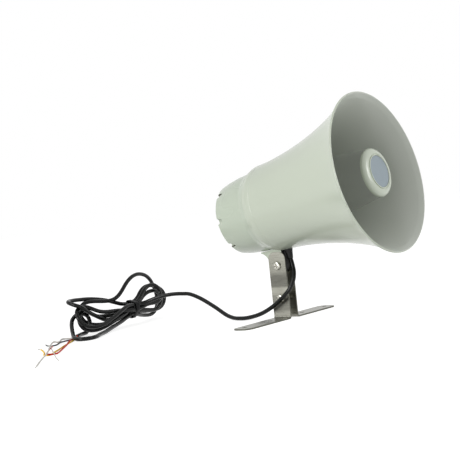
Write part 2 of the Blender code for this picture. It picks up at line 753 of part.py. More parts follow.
def make_rear_cover(axis, finish):
    outer = cover_outer()
    inner = [p for p in inset(outer, COVER_WALL) if p[0] > COVER_WALL * 1.6]
    spigot_outer = height_at(inset(bell_outer(), BELL_WALL), BAND_START_T + BAND_WIDTH) - GAP
    spigot_inner = spigot_outer - COVER_SPIGOT_WALL
    tip = COVER_FRONT_T + COVER_SPIGOT_DEPTH
    profile = [(spigot_outer, tip), (spigot_outer, COVER_FRONT_T)]
    profile += [(r, t) for t, r in reversed(outer)]
    profile += [(0, 0), (0, COVER_WALL), (COVER_REAR_RADIUS - COVER_WALL * 1.6, COVER_WALL)]
    profile += [(min(r, spigot_inner), t) for t, r in inner[:-1]]
    profile += [(spigot_inner, COVER_FRONT_T - COVER_WALL), (spigot_inner, tip)]
    cover = turned("rear_cover", profile, axis, finish, BELL_STEPS)
    core = [(r, t) for t, r in reversed(inset(outer, COVER_WALL / 2))]
    core = [(0, COVER_FRONT_T)] + core + [(0, core[-1][1])]
    core_cutter = turned("cover_core", core, axis, None, BELL_STEPS)
    angles = [360 / CHANNEL_COUNT * i for i in range(CHANNEL_COUNT)]
    screwed = [on_circle(COLUMN_CIRCLE, a) for a in cover_screw_angles()]
    every = [on_circle(COLUMN_CIRCLE, a) for a in angles]
    for name, depth, spots in (("columns", PLAIN_COLUMN_DEPTH, every), ("long_columns", COVER_FRONT_T, screwed)):
        columns = rod(name, COLUMN_RADIUS, COVER_WALL * 0.6, depth, axis, sides=20, spots=spots)
        boolean(columns, core_cutter, "INTERSECT")
        boolean(cover, columns, "UNION")
    channels = [on_circle(COVER_SCREW_CIRCLE, a) for a in angles]
    boolean(
        cover, rod("channels", CHANNEL_RADIUS, -COVER_WALL, CHANNEL_DEPTH, axis, sides=20, spots=channels)
    )
    spots = [on_circle(COVER_SCREW_CIRCLE, a) for a in cover_screw_angles()]
    hole = COVER_SCREW_SHANK + SCREW_CLEARANCE
    boolean(cover, rod("cover_holes", hole, 0, COVER_FRONT_T + GAP, axis, sides=12, spots=spots))
    for i, side in enumerate((-1, 1)):
        where = (0, side * transformer_screw_reach(), 0)
        post = rod(
            f"post_{i}", SMALL_HEAD + SMALL_SHANK, COVER_WALL / 2, COVER_WALL + CORE_STANDOFF, axis, where
        )
        boolean(cover, post, "UNION")
        hole = SMALL_SHANK + SCREW_CLEARANCE
        boolean(
            cover, rod(f"post_hole_{i}", hole, COVER_WALL, COVER_WALL + 2 * CORE_STANDOFF, axis, where, sides=12)
        )
    return cover


def transformer_screw_reach():
    return CORE_WIDTH / 2 + TRANSFORMER_STRAP + TRANSFORMER_EAR / 2 + 2 * GAP


def make_cover_fasteners(axis, steel, rubber):
    outer = COVER_FRONT_RADIUS - GAP
    inner = height_at(inset(bell_outer(), BELL_WALL), BAND_START_T + BAND_WIDTH)
    low = COVER_FRONT_T + GAP
    ring("cover_gasket", outer, inner + GAP, low, low + GASKET_THICKNESS, axis, rubber, BELL_STEPS)
    for i, angle in enumerate(cover_screw_angles()):
        x, y = on_circle(COVER_SCREW_CIRCLE, angle)
        length = COVER_FRONT_T + COVER_SCREW_GRIP - CHANNEL_DEPTH
        pan_screw(
            f"cover_screw_{i + 1}",
            COVER_SCREW_HEAD,
            COVER_SCREW_HEAD_HEIGHT,
            COVER_SCREW_SHANK,
            length,
            axis,
            (x, y, CHANNEL_DEPTH - GAP),
            (math.pi, 0, 0),
            steel,
        )


def cup_inner_front():
    return CUP_FRONT_T - 2 * CUP_WALL


def cup_outer():
    """(t, r) of the reflector cup from its open rear end to its closed front."""
    points = []
    for i in range(7):
        u = i / 6
        t = CUP_REAR_T + (CUP_FRONT_T - CUP_WALL - CUP_REAR_T) * u
        r = CUP_REAR_RADIUS + (CUP_FRONT_RADIUS - CUP_REAR_RADIUS) * (0.55 * u + 0.45 * u**2)
        points.append((t, r))
    return points


def tube_bore(t):
    share = (t - TUBE_FLANGE_T) / (TUBE_FRONT_T - TUBE_FLANGE_T)
    return TUBE_REAR_BORE + (TUBE_FRONT_BORE - TUBE_REAR_BORE) * (0.4 * share + 0.6 * share**2)


def make_reflector_cup(axis, finish):
    outer = cup_outer()
    inner = inset(outer, CUP_WALL)
    front = cup_inner_front()
    hollow = front - CUP_CONE_HEIGHT
    body = [p for p in inner if p[0] < hollow]
    bore = SMALL_SHANK + SCREW_CLEARANCE
    edge = height_at(inner, front - CUP_CONE_HEIGHT * 0.4)
    profile = [(bore, CUP_FRONT_T), (CUP_FRONT_RADIUS - CUP_WALL * 0.4, CUP_FRONT_T)]
    profile += [(r, t) for t, r in reversed(outer)]
    profile += [(r, t) for t, r in body]
    profile += [(edge, front - CUP_CONE_HEIGHT * 0.4), (edge * 0.86, front - CUP_CONE_HEIGHT * 0.08)]
    profile += [(edge * 0.62, front), (edge * 0.38, front - CUP_CONE_HEIGHT * 0.22)]
    profile += [(edge * 0.20, front - CUP_CONE_HEIGHT * 0.62), (bore + CUP_WALL, front - CUP_CONE_HEIGHT)]
    profile += [(bore, front - CUP_CONE_HEIGHT)]
    cup = turned("reflector_cup", profile, axis, finish, 32)
    for i in range(FIN_COUNT):
        low_rear = tube_bore(FIN_REAR_T) + TUBE_WALL + GAP
        low_front = tube_bore(FIN_FRONT_T) + TUBE_WALL + GAP
        outline = (
            (low_rear, FIN_REAR_T),
            (height_at(inner, FIN_REAR_T) + CUP_WALL / 2, FIN_REAR_T),
            (height_at(inner, FIN_FRONT_T) + CUP_WALL / 2, FIN_FRONT_T),
            (low_front, FIN_FRONT_T),
        )
        half = FIN_THICKNESS / 2
        turn = (math.radians(90), 0, math.radians(180 + 360 / FIN_COUNT * i))
        boolean(cup, plate(f"fin_{i}", (outline,), -half, half, axis, turn=turn), "UNION")
    return cup


def make_hub(axis, finish, disc_finish, steel):
    rear = CUP_FRONT_T + GAP
    recess = DISC_RADIUS + GAP
    floor = HUB_FRONT_T - 2 * DISC_THICKNESS - GAP
    ring_edge = recess + HUB_RING_WIDTH
    sink = SMALL_HEAD_HEIGHT + 2 * GAP
    bore = SMALL_SHANK + SCREW_CLEARANCE
    profile = [(recess, HUB_FRONT_T - DISC_THICKNESS * 0.5), (ring_edge - HUB_RING_WIDTH * 0.6, HUB_FRONT_T)]
    profile += [(ring_edge, HUB_FRONT_T - DISC_THICKNESS * 0.4)]
    width = HUB_RADIUS - ring_edge
    depth = HUB_FRONT_T - DISC_THICKNESS - rear
    for i in range(1, 7):
        a = math.radians(15 * i)
        profile.append((ring_edge + width * math.sin(a), rear + depth * (0.2 + 0.8 * math.cos(a))))
    profile += [(HUB_RADIUS - HUB_RING_WIDTH * 0.2, rear), (bore, rear), (bore, floor - sink)]
    profile += [(SMALL_HEAD + GAP, floor - sink), (SMALL_HEAD + GAP, floor), (recess, floor)]
    turned("hub_cap", profile, axis, finish, 36)
    disc_low = floor + GAP
    rod("hub_disc", DISC_RADIUS, disc_low, disc_low + DISC_THICKNESS, axis, finish=disc_finish, sides=40)
    head = floor - sink + GAP
    length = head - (cup_inner_front() - CUP_CONE_HEIGHT) + GAP
    pan_screw(
        "hub_screw", SMALL_HEAD, SMALL_HEAD_HEIGHT, SMALL_SHANK, length, axis, (0, 0, head), (0, 0, 0), steel
    )


def make_throat_tube(axis, finish):
    stations = [TUBE_FLANGE_T + (TUBE_FRONT_T - TUBE_FLANGE_T) * i / 6 for i in range(7)]
    flange_top = TUBE_FLANGE_T + TUBE_FLANGE_THICKNESS
    outside = [(tube_bore(t) + TUBE_WALL, t) for t in reversed(stations[1:])]
    profile = outside + [(tube_bore(stations[0]) + 2 * TUBE_WALL, flange_top + TUBE_WALL)]
    profile += [(tube_bore(stations[0]) + 4 * TUBE_WALL, flange_top)]
    profile += [(TUBE_FLANGE_RADIUS, flange_top), (TUBE_FLANGE_RADIUS, TUBE_FLANGE_T)]
    profile += [(tube_bore(t), t) for t in stations]
    tube_part = turned("throat_tube", profile, axis, finish, 24)
    for i, angle in enumerate(flange_screw_angles()):
        x, y = on_circle(FLANGE_SCREW_CIRCLE, angle)
        hole = SMALL_SHANK + SCREW_CLEARANCE
        low = TUBE_FLANGE_T - GAP
        boolean(tube_part, rod(f"tube_hole_{i}", hole, low, flange_top + GAP, axis, (x, y, 0), sides=12))


def make_magnet(axis, steel, ferrite):
    pole_top = TOP_PLATE_FRONT
    plate_front = BACK_PLATE_T + BACK_PLATE_THICKNESS
    profile = [
        (0, pole_top),
        (POLE_RADIUS, pole_top),
        (POLE_RADIUS, plate_front),
        (BACK_PLATE_RADIUS, plate_front),
        (BACK_PLATE_RADIUS, BACK_PLATE_T),
        (0, BACK_PLATE_T),
    ]
    turned("back_plate", profile, axis, steel)
    ring("magnet_ring", MAGNET_RADIUS, MAGNET_BORE, MAGNET_T, MAGNET_T + MAGNET_THICKNESS, axis, ferrite, 32)
    bore = COIL_RADIUS + COIL_CLEARANCE
    top = ring("top_plate", TOP_PLATE_RADIUS, bore, TOP_PLATE_T, TOP_PLATE_FRONT, axis, steel, 32)
    for i, angle in enumerate(flange_screw_angles()):
        x, y = on_circle(DRIVER_SCREW_CIRCLE, angle)
        hole = SMALL_SHANK + SCREW_CLEARANCE
        boolean(top, rod(f"top_hole_{i}", hole, TOP_PLATE_T - GAP, CLAMP_RING_T, axis, (x, y, 0), sides=12))


def make_diaphragm(axis, film, coil_finish, plastic):
    coil_axis = empty("coil_axis", axis)
    bore = COIL_RADIUS - COIL_WALL
    ring("voice_coil", COIL_RADIUS, bore, COIL_FRONT_T - COIL_LENGTH, COIL_FRONT_T, coil_axis, coil_finish)
    ball = (COIL_RADIUS**2 + DOME_HEIGHT**2) / (2 * DOME_HEIGHT)
    half = math.asin(COIL_RADIUS / ball)
    centre = DOME_BASE_T + DIAPHRAGM_WALL + DOME_HEIGHT - ball
    dome = [(ball * math.sin(half * i / 4), centre + ball * math.cos(half * i / 4)) for i in range(5)]
    roll_centre = COIL_RADIUS + SURROUND_WIDTH / 2
    roll = SURROUND_WIDTH / 2
    top = DOME_BASE_T + DIAPHRAGM_WALL
    outer = [(roll_centre - roll * math.cos(a), top + roll * 0.5 * math.sin(a)) for a in (0.8, 1.57, 2.3)]
    upper = dome + outer + [(DIAPHRAGM_RADIUS, top)]
    lower = [(r, z - DIAPHRAGM_WALL) for r, z in reversed(upper)]
    turned("diaphragm", upper + lower, coil_axis, film, 24)
    low = CLAMP_RING_T
    ring("clamp_ring", CLAMP_RING_RADIUS, CLAMP_RING_BORE, low, low + CLAMP_RING_THICKNESS, axis, plastic)


def plug_base_t():
    """The phase plug's rear face clears the dome by its travel."""
    return DOME_BASE_T + DIAPHRAGM_WALL + DOME_HEIGHT + COIL_TRAVEL + 2 * GAP


def driver_bore(t):
    """The radius of the driver cover's throat, which narrows round the phase plug."""
    share = min(1.0, max(0.0, (t - plug_base_t()) / PLUG_LENGTH))
    wide = COIL_RADIUS + PLUG_ANNULUS
    return wide + (DRIVER_THROAT_RADIUS - wide) * math.sin(share * math.pi / 2)


def make_driver_cover(axis, plastic, rubber, steel):
    rim_front = DRIVER_COVER_T + DRIVER_COVER_RIM
    flange_rear = DRIVER_FRONT_T - DRIVER_FLANGE_THICKNESS
    base = plug_base_t()
    cavity = base - GAP
    profile = [(DRIVER_FLANGE_RADIUS, DRIVER_FRONT_T), (DRIVER_FLANGE_RADIUS, flange_rear)]
    profile += [(DRIVER_NECK_RADIUS, flange_rear), (DRIVER_NECK_RADIUS, rim_front)]
    profile += [(DRIVER_COVER_RADIUS, rim_front), (DRIVER_COVER_RADIUS, DRIVER_COVER_T)]
    profile += [(CLAMP_RING_BORE, DRIVER_COVER_T), (CLAMP_RING_BORE, cavity)]
    for i in range(5):
        t = base + PLUG_LENGTH * i / 4
        profile.append((driver_bore(t), t))
    profile.append((DRIVER_THROAT_RADIUS, DRIVER_FRONT_T))
    cover = turned("driver_cover", profile, axis, plastic, 28)
    flange_screw_rear = flange_rear - SMALL_HEAD_HEIGHT - GAP
    for i, angle in enumerate(flange_screw_angles()):
        hole = SMALL_SHANK + SCREW_CLEARANCE
        x, y = on_circle(DRIVER_SCREW_CIRCLE, angle)
        boolean(
            cover, rod(f"rim_hole_{i}", hole, DRIVER_COVER_T - GAP, rim_front + GAP, axis, (x, y, 0), sides=12)
        )
        length = rim_front + GAP - TOP_PLATE_T - GAP
        where = (x, y, rim_front + GAP)
        pan_screw(
            f"driver_screw_{i + 1}", SMALL_HEAD, SMALL_HEAD_HEIGHT, SMALL_SHANK, length, axis, where,
            (0, 0, 0), steel
        )
        x, y = on_circle(FLANGE_SCREW_CIRCLE, angle)
        low = flange_screw_rear
        boolean(cover, rod(f"flange_bore_{i}", hole, low, DRIVER_FRONT_T + GAP, axis, (x, y, 0), sides=12))
        length = TUBE_FLANGE_T + TUBE_FLANGE_THICKNESS - flange_rear
        where = (x, y, flange_rear - GAP)
        pan_screw(
            f"throat_screw_{i + 1}", SMALL_HEAD, SMALL_HEAD_HEIGHT, SMALL_SHANK, length, axis, where,
            (math.pi, 0, 0), steel
        )
    bore = DRIVER_THROAT_RADIUS + GAP
    rim = FLANGE_SCREW_CIRCLE - SMALL_SHANK - 4 * GAP
    ring("throat_gasket", rim, bore, DRIVER_GASKET_T, DRIVER_GASKET_T + GASKET_THICKNESS, axis, rubber)


def make_phase_plug(axis, plastic):
    """A bullet in the driver's throat, held by three fins that reach the throat's wall."""
    base = plug_base_t()
    stations = [base + PLUG_LENGTH * i / 6 for i in range(7)]
    profile = [(0, stations[-1])]
    for i in range(5, -1, -1):
        t = stations[i]
        profile.append((max(0.0008, driver_bore(t) * (1 - (i / 6) ** 1.6) - PLUG_ANNULUS), t))
    profile += [(0, base)]
    plug = turned("phase_plug", profile, axis, plastic, 24)
    for i in range(3):
        low = stations[1]
        high = stations[3]
        reach = driver_bore(high) - GAP
        turn = (0, 0, math.radians(120 * i))
        half = FIN_THICKNESS / 4
        fin = box(
            f"plug_fin_{i}", (DRIVER_THROAT_RADIUS / 4, -half, low), (reach, half, high), axis, turn=turn
        )
        boolean(plug, fin, "UNION")


def make_transformer(axis, steel, winding, bright):
    rear = COVER_WALL + CORE_STANDOFF + GAP
    front = rear + CORE_STACK
    half_w = CORE_WIDTH / 2
    half_h = CORE_HEIGHT / 2
    rim = ((-half_h, -half_w), (half_h, -half_w), (half_h, half_w), (-half_h, half_w))
    window_end = half_h - CORE_LEG / 2
    windows = []
    for side in (-1, 1):
        near = side * CORE_LEG / 2
        far = side * (CORE_LEG / 2 + CORE_WINDOW)
        windows.append(((-window_end, near), (window_end, near), (window_end, far), (-window_end, far)))
    plate("transformer_core", (rim, *windows), rear, front, axis, finish=steel)
    reach = CORE_LEG / 2 + CORE_WINDOW - GAP
    high = window_end - GAP
    low_t = rear - WINDING_OVERHANG
    coil = box(
        "transformer_winding", (-high, -reach, low_t), (high, reach, front + WINDING_OVERHANG), axis,
        finish=winding
    )
    slot = CORE_LEG / 2 + GAP
    boolean(coil, box("winding_slot", (-half_h, -slot, rear - GAP), (half_h, slot, front + GAP), axis))
    strap_in = half_w + GAP
    strap_out = strap_in + TRANSFORMER_STRAP
    reach = transformer_screw_reach() + TRANSFORMER_EAR / 2
    ear_low = rear
    ear_high = ear_low + TRANSFORMER_STRAP
    strap_low = front + GAP
    strap_high = strap_low + TRANSFORMER_STRAP
    outline = [(-reach, ear_low), (-strap_in, ear_low), (-strap_in, strap_low)]
    outline += [(strap_in, strap_low), (strap_in, ear_low), (reach, ear_low), (reach, ear_high)]
    outline += [(strap_out, ear_high), (strap_out, strap_high), (-strap_out, strap_high)]
    outline += [(-strap_out, ear_high), (-reach, ear_high)]
    turn = (math.radians(90), 0, math.radians(90))
    plate("transformer_clamp", (outline,), window_end + GAP, half_h, axis, turn=turn, finish=bright)


def make_gland(axis, rubber):
    """The strain relief where the cord leaves the bell, from its inner flange to its tapered tip."""
    outer = bell_outer()
    wall_out = height_at(outer, GLAND_T)
    wall_in = wall_out - BELL_WALL
    bore = CORD_DIAMETER / 2 + GAP
    seat_out = math.sqrt(wall_out**2) + GAP
    seat_in = math.sqrt(wall_in**2 - GLAND_FLANGE_RADIUS**2) - GAP
    tip = wall_out + GLAND_LENGTH
    profile = [(GLAND_TIP_RADIUS, tip), (GLAND_OUTER_RADIUS * 0.86, wall_out + GLAND_LENGTH * 0.4)]
    profile += [(GLAND_OUTER_RADIUS, seat_out + 4 * GAP), (GLAND_OUTER_RADIUS, seat_out)]
    profile += [(GLAND_NECK_RADIUS, seat_out), (GLAND_NECK_RADIUS, seat_in), (GLAND_FLANGE_RADIUS, seat_in)]
    profile += [(GLAND_FLANGE_RADIUS, seat_in - GLAND_FLANGE), (bore, seat_in - GLAND_FLANGE), (bore, tip)]
    turned("cord_gland", profile, axis, rubber, 24, (0, 0, GLAND_T), (0, math.radians(90), 0))
    return seat_in - GLAND_FLANGE, tip


def make_inner_lead(axis, finish, gland_inner):
    start_r = gland_inner - GAP
    bend = start_r - LEAD_RADIUS + CORD_DIAMETER
    route = [(start_r, 0, GLAND_T), (start_r - bend * 0.35, 0, GLAND_T - bend * 0.15)]
    route += [(LEAD_RADIUS, 0, GLAND_T - bend * 1.6), (LEAD_RADIUS, 0, (GLAND_T + LEAD_END_T) / 2)]
    route += [(LEAD_RADIUS - CORD_DIAMETER * 0.4, 0, LEAD_END_T)]
    tube("inner_lead", smooth_route(route, CORD_DIAMETER), CORD_DIAMETER / 2 - GAP, axis, finish, 1)


def strap_outline():
    """The strap's side: up the leg, round the bend and out along the foot, from the bracket's middle."""
    top = PIVOT_HEIGHT + STRAP_TOP_ABOVE_PIVOT
    bend_out = STRAP_BEND + STRAP_THICKNESS
    inner = arc((STRAP_INNER + bend_out, bend_out), bend_out, 180, 270, 6)
    outer = arc((STRAP_OUTER + STRAP_BEND, STRAP_THICKNESS + STRAP_BEND), STRAP_BEND, 270, 180, 5)
    line = [(STRAP_OUTER, top), (STRAP_INNER, top)] + inner
    line += [(FOOT_REACH, 0), (FOOT_REACH, STRAP_THICKNESS)] + outer
    return line


def make_strap(name, side, base, finish):
    """One L of the bracket: side is -1 for the near strap and 1 for the far one."""
    half = STRAP_WIDTH / 2
    turn = (math.radians(90), 0, math.radians(90))
    outline = [(side * y, z) for y, z in strap_outline()]
    strap = plate(name, (outline,), -half, half, base, turn=turn, finish=finish)
    round_strap_ends(strap, side)
    across = (math.radians(90), 0, 0)
    bore = BRACKET_SCREW_RADIUS + SCREW_CLEARANCE
    middle = side * (STRAP_INNER + STRAP_THICKNESS / 2)
    for label, height in (("pivot", PIVOT_HEIGHT), ("lower", LOWER_SCREW_HEIGHT)):
        where = (0, middle, height)
        boolean(strap, rod(f"{name}_{label}", bore, -STRAP_THICKNESS, STRAP_THICKNESS, base, where, across))
    for label, reach in (("inner", FOOT_HOLE_INNER), ("outer", FOOT_HOLE_OUTER)):
        where = (0, side * reach, 0)
        hole = rod(f"{name}_{label}", FOOT_HOLE_RADIUS, -STRAP_THICKNESS, 2 * STRAP_THICKNESS, base, where)
        boolean(strap, hole)
    return strap


def round_strap_ends(strap, side):
    """Rounds the four corners of a strap's two ends by a weighted bevel."""
    top = PIVOT_HEIGHT + STRAP_TOP_ABOVE_PIVOT
    shape = bmesh.new()
    shape.from_mesh(strap.data)
    weight = shape.edges.layers.float.new("bevel_weight_edge")
    for edge in shape.edges:
        a, b = (v.co for v in edge.verts)
        same_side = abs(a.z - b.z) < GAP
        at_top = min(a.y, b.y) > top - GAP
        at_toe = min(abs(a.x), abs(b.x)) > FOOT_REACH - GAP
        if same_side and (at_top or at_toe) and edge.calc_length() > GAP:
            edge[weight] = 1.0
    shape.to_mesh(strap.data)
    shape.free()
    bevel = strap.modifiers.new("Corners", "BEVEL")
    bevel.limit_method = "WEIGHT"
    bevel.width = STRAP_CORNER
    bevel.segments = 8


def make_bracket_fasteners(base, steel):
    grip = STRAP_OUTER
    nut_face = grip + WASHER_THICKNESS + 2 * GAP
    nut_end = nut_face + NUT_HEIGHT
    near = (math.radians(90), 0, 0)
    far = (math.radians(-90), 0, 0)
    bore = BRACKET_SCREW_RADIUS + GAP
    for label, height in (("pivot", PIVOT_HEIGHT), ("lower", LOWER_SCREW_HEIGHT)):
        length = grip + GAP + nut_end + SCREW_END
        where = (0, -grip - GAP, height)
        pan_screw(
            f"{label}_screw", BRACKET_HEAD_RADIUS, BRACKET_HEAD_HEIGHT, BRACKET_SCREW_RADIUS, length,
            base, where, near, steel, 20
        )
        washer_at = (0, grip + GAP, height)
        ring(f"{label}_washer", WASHER_RADIUS, bore, 0, WASHER_THICKNESS, base, steel, 24, washer_at, far)
        hexagon_nut(f"{label}_nut", NUT_HEIGHT, bore, base, (0, nut_face, height), far, steel)
    half = STRAP_INNER - GAP
    where = (0, 0, LOWER_SCREW_HEIGHT)
    ring("spacer_sleeve", SPACER_RADIUS, bore, -half, half, base, steel, 24, where, near)


def hank_axis():
    """The hank's direction over the floor, its length between the ends' centres and its sides' lean."""
    run = HANK_FRONT_END - HANK_REAR_END
    return run.normalized(), run.length, math.asin((HANK_FRONT_RADIUS - HANK_REAR_RADIUS) / run.length)


def make_cord(base, jacket, tie, core_finishes, gland_tip):
    """The lead from the gland, the tied hank as one tapered solid and the bared cores."""
    tip_x, tip_z = horn_point(GLAND_T, gland_tip + GAP)
    along, length, lean = hank_axis()
    angle = math.degrees(math.atan2(along.y, along.x))
    side_angle = angle + 90 + math.degrees(lean)
    ends = arc(HANK_REAR_END.xy, HANK_REAR_RADIUS, side_angle, 2 * angle + 360 - side_angle, 11)
    ends += arc(HANK_FRONT_END.xy, HANK_FRONT_RADIUS, 2 * angle - side_angle, side_angle, 17)
    plate("cord_hank", (ends,), GAP, HANK_HEIGHT, base, finish=jacket)
    outwards = Vector((*on_circle(1, side_angle), 0))
    side = Vector((*ends[0], 0)).lerp(Vector((*ends[-1], 0)), HANK_ENTRY_PLACE) + outwards * GAP
    side.z = HANK_ENTRY_HEIGHT
    straight = side + outwards * 2.2 * CORD_DIAMETER
    route = smooth_route([Vector((tip_x, 0, tip_z)), *CORD_ROUTE, straight, side], CORD_POINT_STEP)
    tube("cord_lead", route, CORD_DIAMETER / 2, base, jacket, 2)
    make_tie(base, angle, tie)
    for name, (bearing, points) in CORE_ROUTES.items():
        radius = CORE_DIAMETER / 2
        x, y = on_circle(HANK_FRONT_RADIUS + 1.3 * GAP, bearing)
        first = HANK_FRONT_END + Vector((x, y, radius + GAP))
        tube(name, smooth_route((first, *points), 3.4 * CORE_DIAMETER), radius, base, core_finishes[name], 0)


def make_tie(base, angle, finish):
    """The band round the hank: a flat loop over its top and down its sides."""
    along, length, lean = hank_axis()
    half = HANK_TIE_WIDTH / 2
    widest = HANK_TIE_PLACE * length + half
    inner = (HANK_REAR_RADIUS + widest * math.sin(lean)) / math.cos(lean) + GAP
    outer = inner + HANK_TIE_THICKNESS
    low = GAP
    top = HANK_HEIGHT + GAP
    rim = [(-outer, low), (-inner, low), (-inner, top), (inner, top), (inner, low), (outer, low)]
    rim += [(outer, top + HANK_TIE_THICKNESS), (-outer, top + HANK_TIE_THICKNESS)]
    turn = (math.radians(90), 0, math.radians(angle + 90))
    middle = HANK_REAR_END.lerp(HANK_FRONT_END, HANK_TIE_PLACE)
    plate("hank_tie", (rim,), -half, half, base, (middle.x, middle.y, 0), turn, finish)


def build():
    shell = material("pale plastic", (0.60, 0.635, 0.555), 0.32)
    cover_shell = material("cover plastic", (0.56, 0.625, 0.54), 0.32)
    black_plastic = material("black plastic", (0.03, 0.03, 0.03), 0.45)
    steel = material("brushed stainless", (0.62, 0.60, 0.55), 0.3, 1.0)
    bright = material("bright screw steel", (0.78, 0.77, 0.74), 0.22, 1.0)
    disc = material("satin silver", (0.55, 0.58, 0.62), 0.35, 0.6)
    ferrite = material("ferrite", (0.05, 0.05, 0.055), 0.7)
    plated = material("plated steel", (0.55, 0.54, 0.50), 0.35, 1.0)
    rubber = material("black rubber", (0.025, 0.025, 0.025), 0.6)
    film = material("amber film", (0.45, 0.25, 0.08), 0.4)
    copper = material("copper wire", (0.60, 0.27, 0.12), 0.4, 1.0)
    tape = material("winding tape", (0.62, 0.50, 0.12), 0.5)
    jacket = material("cord jacket", (0.02, 0.02, 0.021), 0.35)
    cores = {
        "core_red": material("red core", (0.62, 0.05, 0.03), 0.4),
        "core_yellow": material("yellow core", (0.75, 0.50, 0.05), 0.4),
        "core_black": material("black core", (0.06, 0.06, 0.065), 0.4),
        "core_white": material("white core", (0.75, 0.74, 0.70), 0.4),
    }
    base = empty("bracket_frame", None, (-centre_offset(), 0, 0))
    tilt = empty("tilt_axis", base, (0, 0, PIVOT_HEIGHT), (0, math.pi / 2 - TILT, 0))
    axis = empty("horn_axis", tilt, (-AXIS_OFFSET, 0, -PIVOT_T))

    make_bell(axis, shell)
    make_rear_cover(axis, cover_shell)
    make_cover_fasteners(axis, bright, rubber)
    make_reflector_cup(axis, shell)
    make_hub(axis, shell, disc, bright)
    make_throat_tube(axis, shell)
    make_magnet(axis, plated, ferrite)
    make_diaphragm(axis, film, copper, black_plastic)
    make_driver_cover(axis, black_plastic, rubber, bright)
    make_phase_plug(axis, black_plastic)
    make_transformer(axis, plated, tape, bright)
    gland_inner, gland_tip = make_gland(axis, rubber)
    make_inner_lead(axis, jacket, gland_inner)
    make_strap("strap_near", -1, base, steel)
    make_strap("strap_far", 1, base, steel)
    make_bracket_fasteners(base, bright)
    make_cord(base, jacket, black_plastic, cores, gland_tip)
    bpy.context.view_layer.update()


clear_scene()
PARTS = new_collection(COLLECTION)
CUTTERS = new_collection("cutters")
build()
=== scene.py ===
# %% [markdown]
# # A horn loudspeaker, dressed for its picture
#
# The solids of this horn speaker are already made. Here they get their finishes, and the pieces that
# carry the picture are made again with rounder curves: the bell, the cup over the driver, the bullet
# in the mouth, the bracket and the cord.

# %% Load the finished solids
import math
import bmesh
import bpy
import numpy as np
from mathutils import Matrix, Vector
from mathutils.geometry import convex_hull_2d
from mathutils.kdtree import KDTree


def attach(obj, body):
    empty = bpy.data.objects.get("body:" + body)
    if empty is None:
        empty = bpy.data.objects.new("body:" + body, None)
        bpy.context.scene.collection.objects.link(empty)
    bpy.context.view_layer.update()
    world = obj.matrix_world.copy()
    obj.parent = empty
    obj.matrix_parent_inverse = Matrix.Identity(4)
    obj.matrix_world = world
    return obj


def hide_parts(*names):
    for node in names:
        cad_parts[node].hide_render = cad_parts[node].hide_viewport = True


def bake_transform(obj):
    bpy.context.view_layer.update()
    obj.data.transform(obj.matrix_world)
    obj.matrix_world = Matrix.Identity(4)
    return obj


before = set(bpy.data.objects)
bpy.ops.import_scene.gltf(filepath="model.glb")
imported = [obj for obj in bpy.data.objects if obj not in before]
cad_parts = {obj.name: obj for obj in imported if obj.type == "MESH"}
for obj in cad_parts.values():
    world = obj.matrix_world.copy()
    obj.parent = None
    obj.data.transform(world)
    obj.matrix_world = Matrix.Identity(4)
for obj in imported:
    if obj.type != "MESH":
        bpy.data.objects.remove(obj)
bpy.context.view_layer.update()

# %% [markdown]
# ## Where the horn sits
#
# A horn is round about its own axis, and this one points eleven degrees up. It is far easier to draw
# round things upright at the origin and then carry them over, so one matrix holds that move. In the
# horn's own space z runs from the rear face to the mouth, and x points down at the bracket.

# %% The horn's own space
TILT = math.radians(11)
PIVOT = Vector((-0.054915, 0, 0.070))
AXIS_OFFSET = 0.0755
PIVOT_T = 0.049
horn_space = (
    Matrix.Translation(PIVOT)
    @ Matrix.Rotation(math.pi / 2 - TILT, 4, "Y")
    @ Matrix.Translation((-AXIS_OFFSET, 0, -PIVOT_T))
)
mouth = horn_space @ Vector((0, 0, 0.228))
print("mouth centre:", [round(v, 4) for v in mouth])

# %% [markdown]
# ## The camera
#
# A product photo is taken from far away with a long lens, which keeps round shapes round. The camera
# stands low, to the right of the horn's nose, and leans a little.

# %% Place the camera
lens = bpy.data.cameras.new("photo camera")
lens.sensor_width = 36.0
lens.lens = 1100 / 460 * 36.0
camera = bpy.data.objects.new("photo camera", lens)
camera.matrix_world = (
    Matrix.Translation((0.83066 - 0.054915, -1.18008, 0.17008))
    @ Matrix.Rotation(math.radians(37.60), 4, "Z")
    @ Matrix.Rotation(math.radians(90 - 1.874), 4, "X")
    @ Matrix.Rotation(math.radians(-6.065), 4, "Z")
)
bpy.context.scene.collection.objects.link(camera)
bpy.context.scene.camera = camera
print("lens:", round(lens.lens, 2), "mm")

# %% [markdown]
# ## The white room
#
# The background of the photo is pure white, but a white room would burn out the pale plastic. A studio
# gets round that with a backdrop that has its own lamps. Here the world is white only to rays that the
# camera or a reflection sends, and a plain dim grey to the light itself.

# %% World
ROOM_LIGHT = 0.34
world = bpy.data.worlds.new("studio")
world.use_nodes = True
nodes = world.node_tree.nodes
links = world.node_tree.links
nodes.clear()
world_out = nodes.new("ShaderNodeOutputWorld")
seen_white = nodes.new("ShaderNodeBackground")
seen_white.inputs["Color"].default_value = (1, 1, 1, 1)
seen_white.inputs["Strength"].default_value = 1.0
room_light = nodes.new("ShaderNodeBackground")
room_light.inputs["Color"].default_value = (1.0, 1.0, 1.0, 1)
room_light.inputs["Strength"].default_value = ROOM_LIGHT


def seen_rays(tree):
    """1 for rays from the camera, a mirror or glass, and 0 for plain light."""
    ray = tree.nodes.new("ShaderNodeLightPath")
    value = ray.outputs["Is Camera Ray"]
    for kind in ("Is Glossy Ray", "Is Transmission Ray"):
        larger = tree.nodes.new("ShaderNodeMath")
        larger.operation = "MAXIMUM"
        tree.links.new(value, larger.inputs[0])
        tree.links.new(ray.outputs[kind], larger.inputs[1])
        value = larger.outputs[0]
    return value


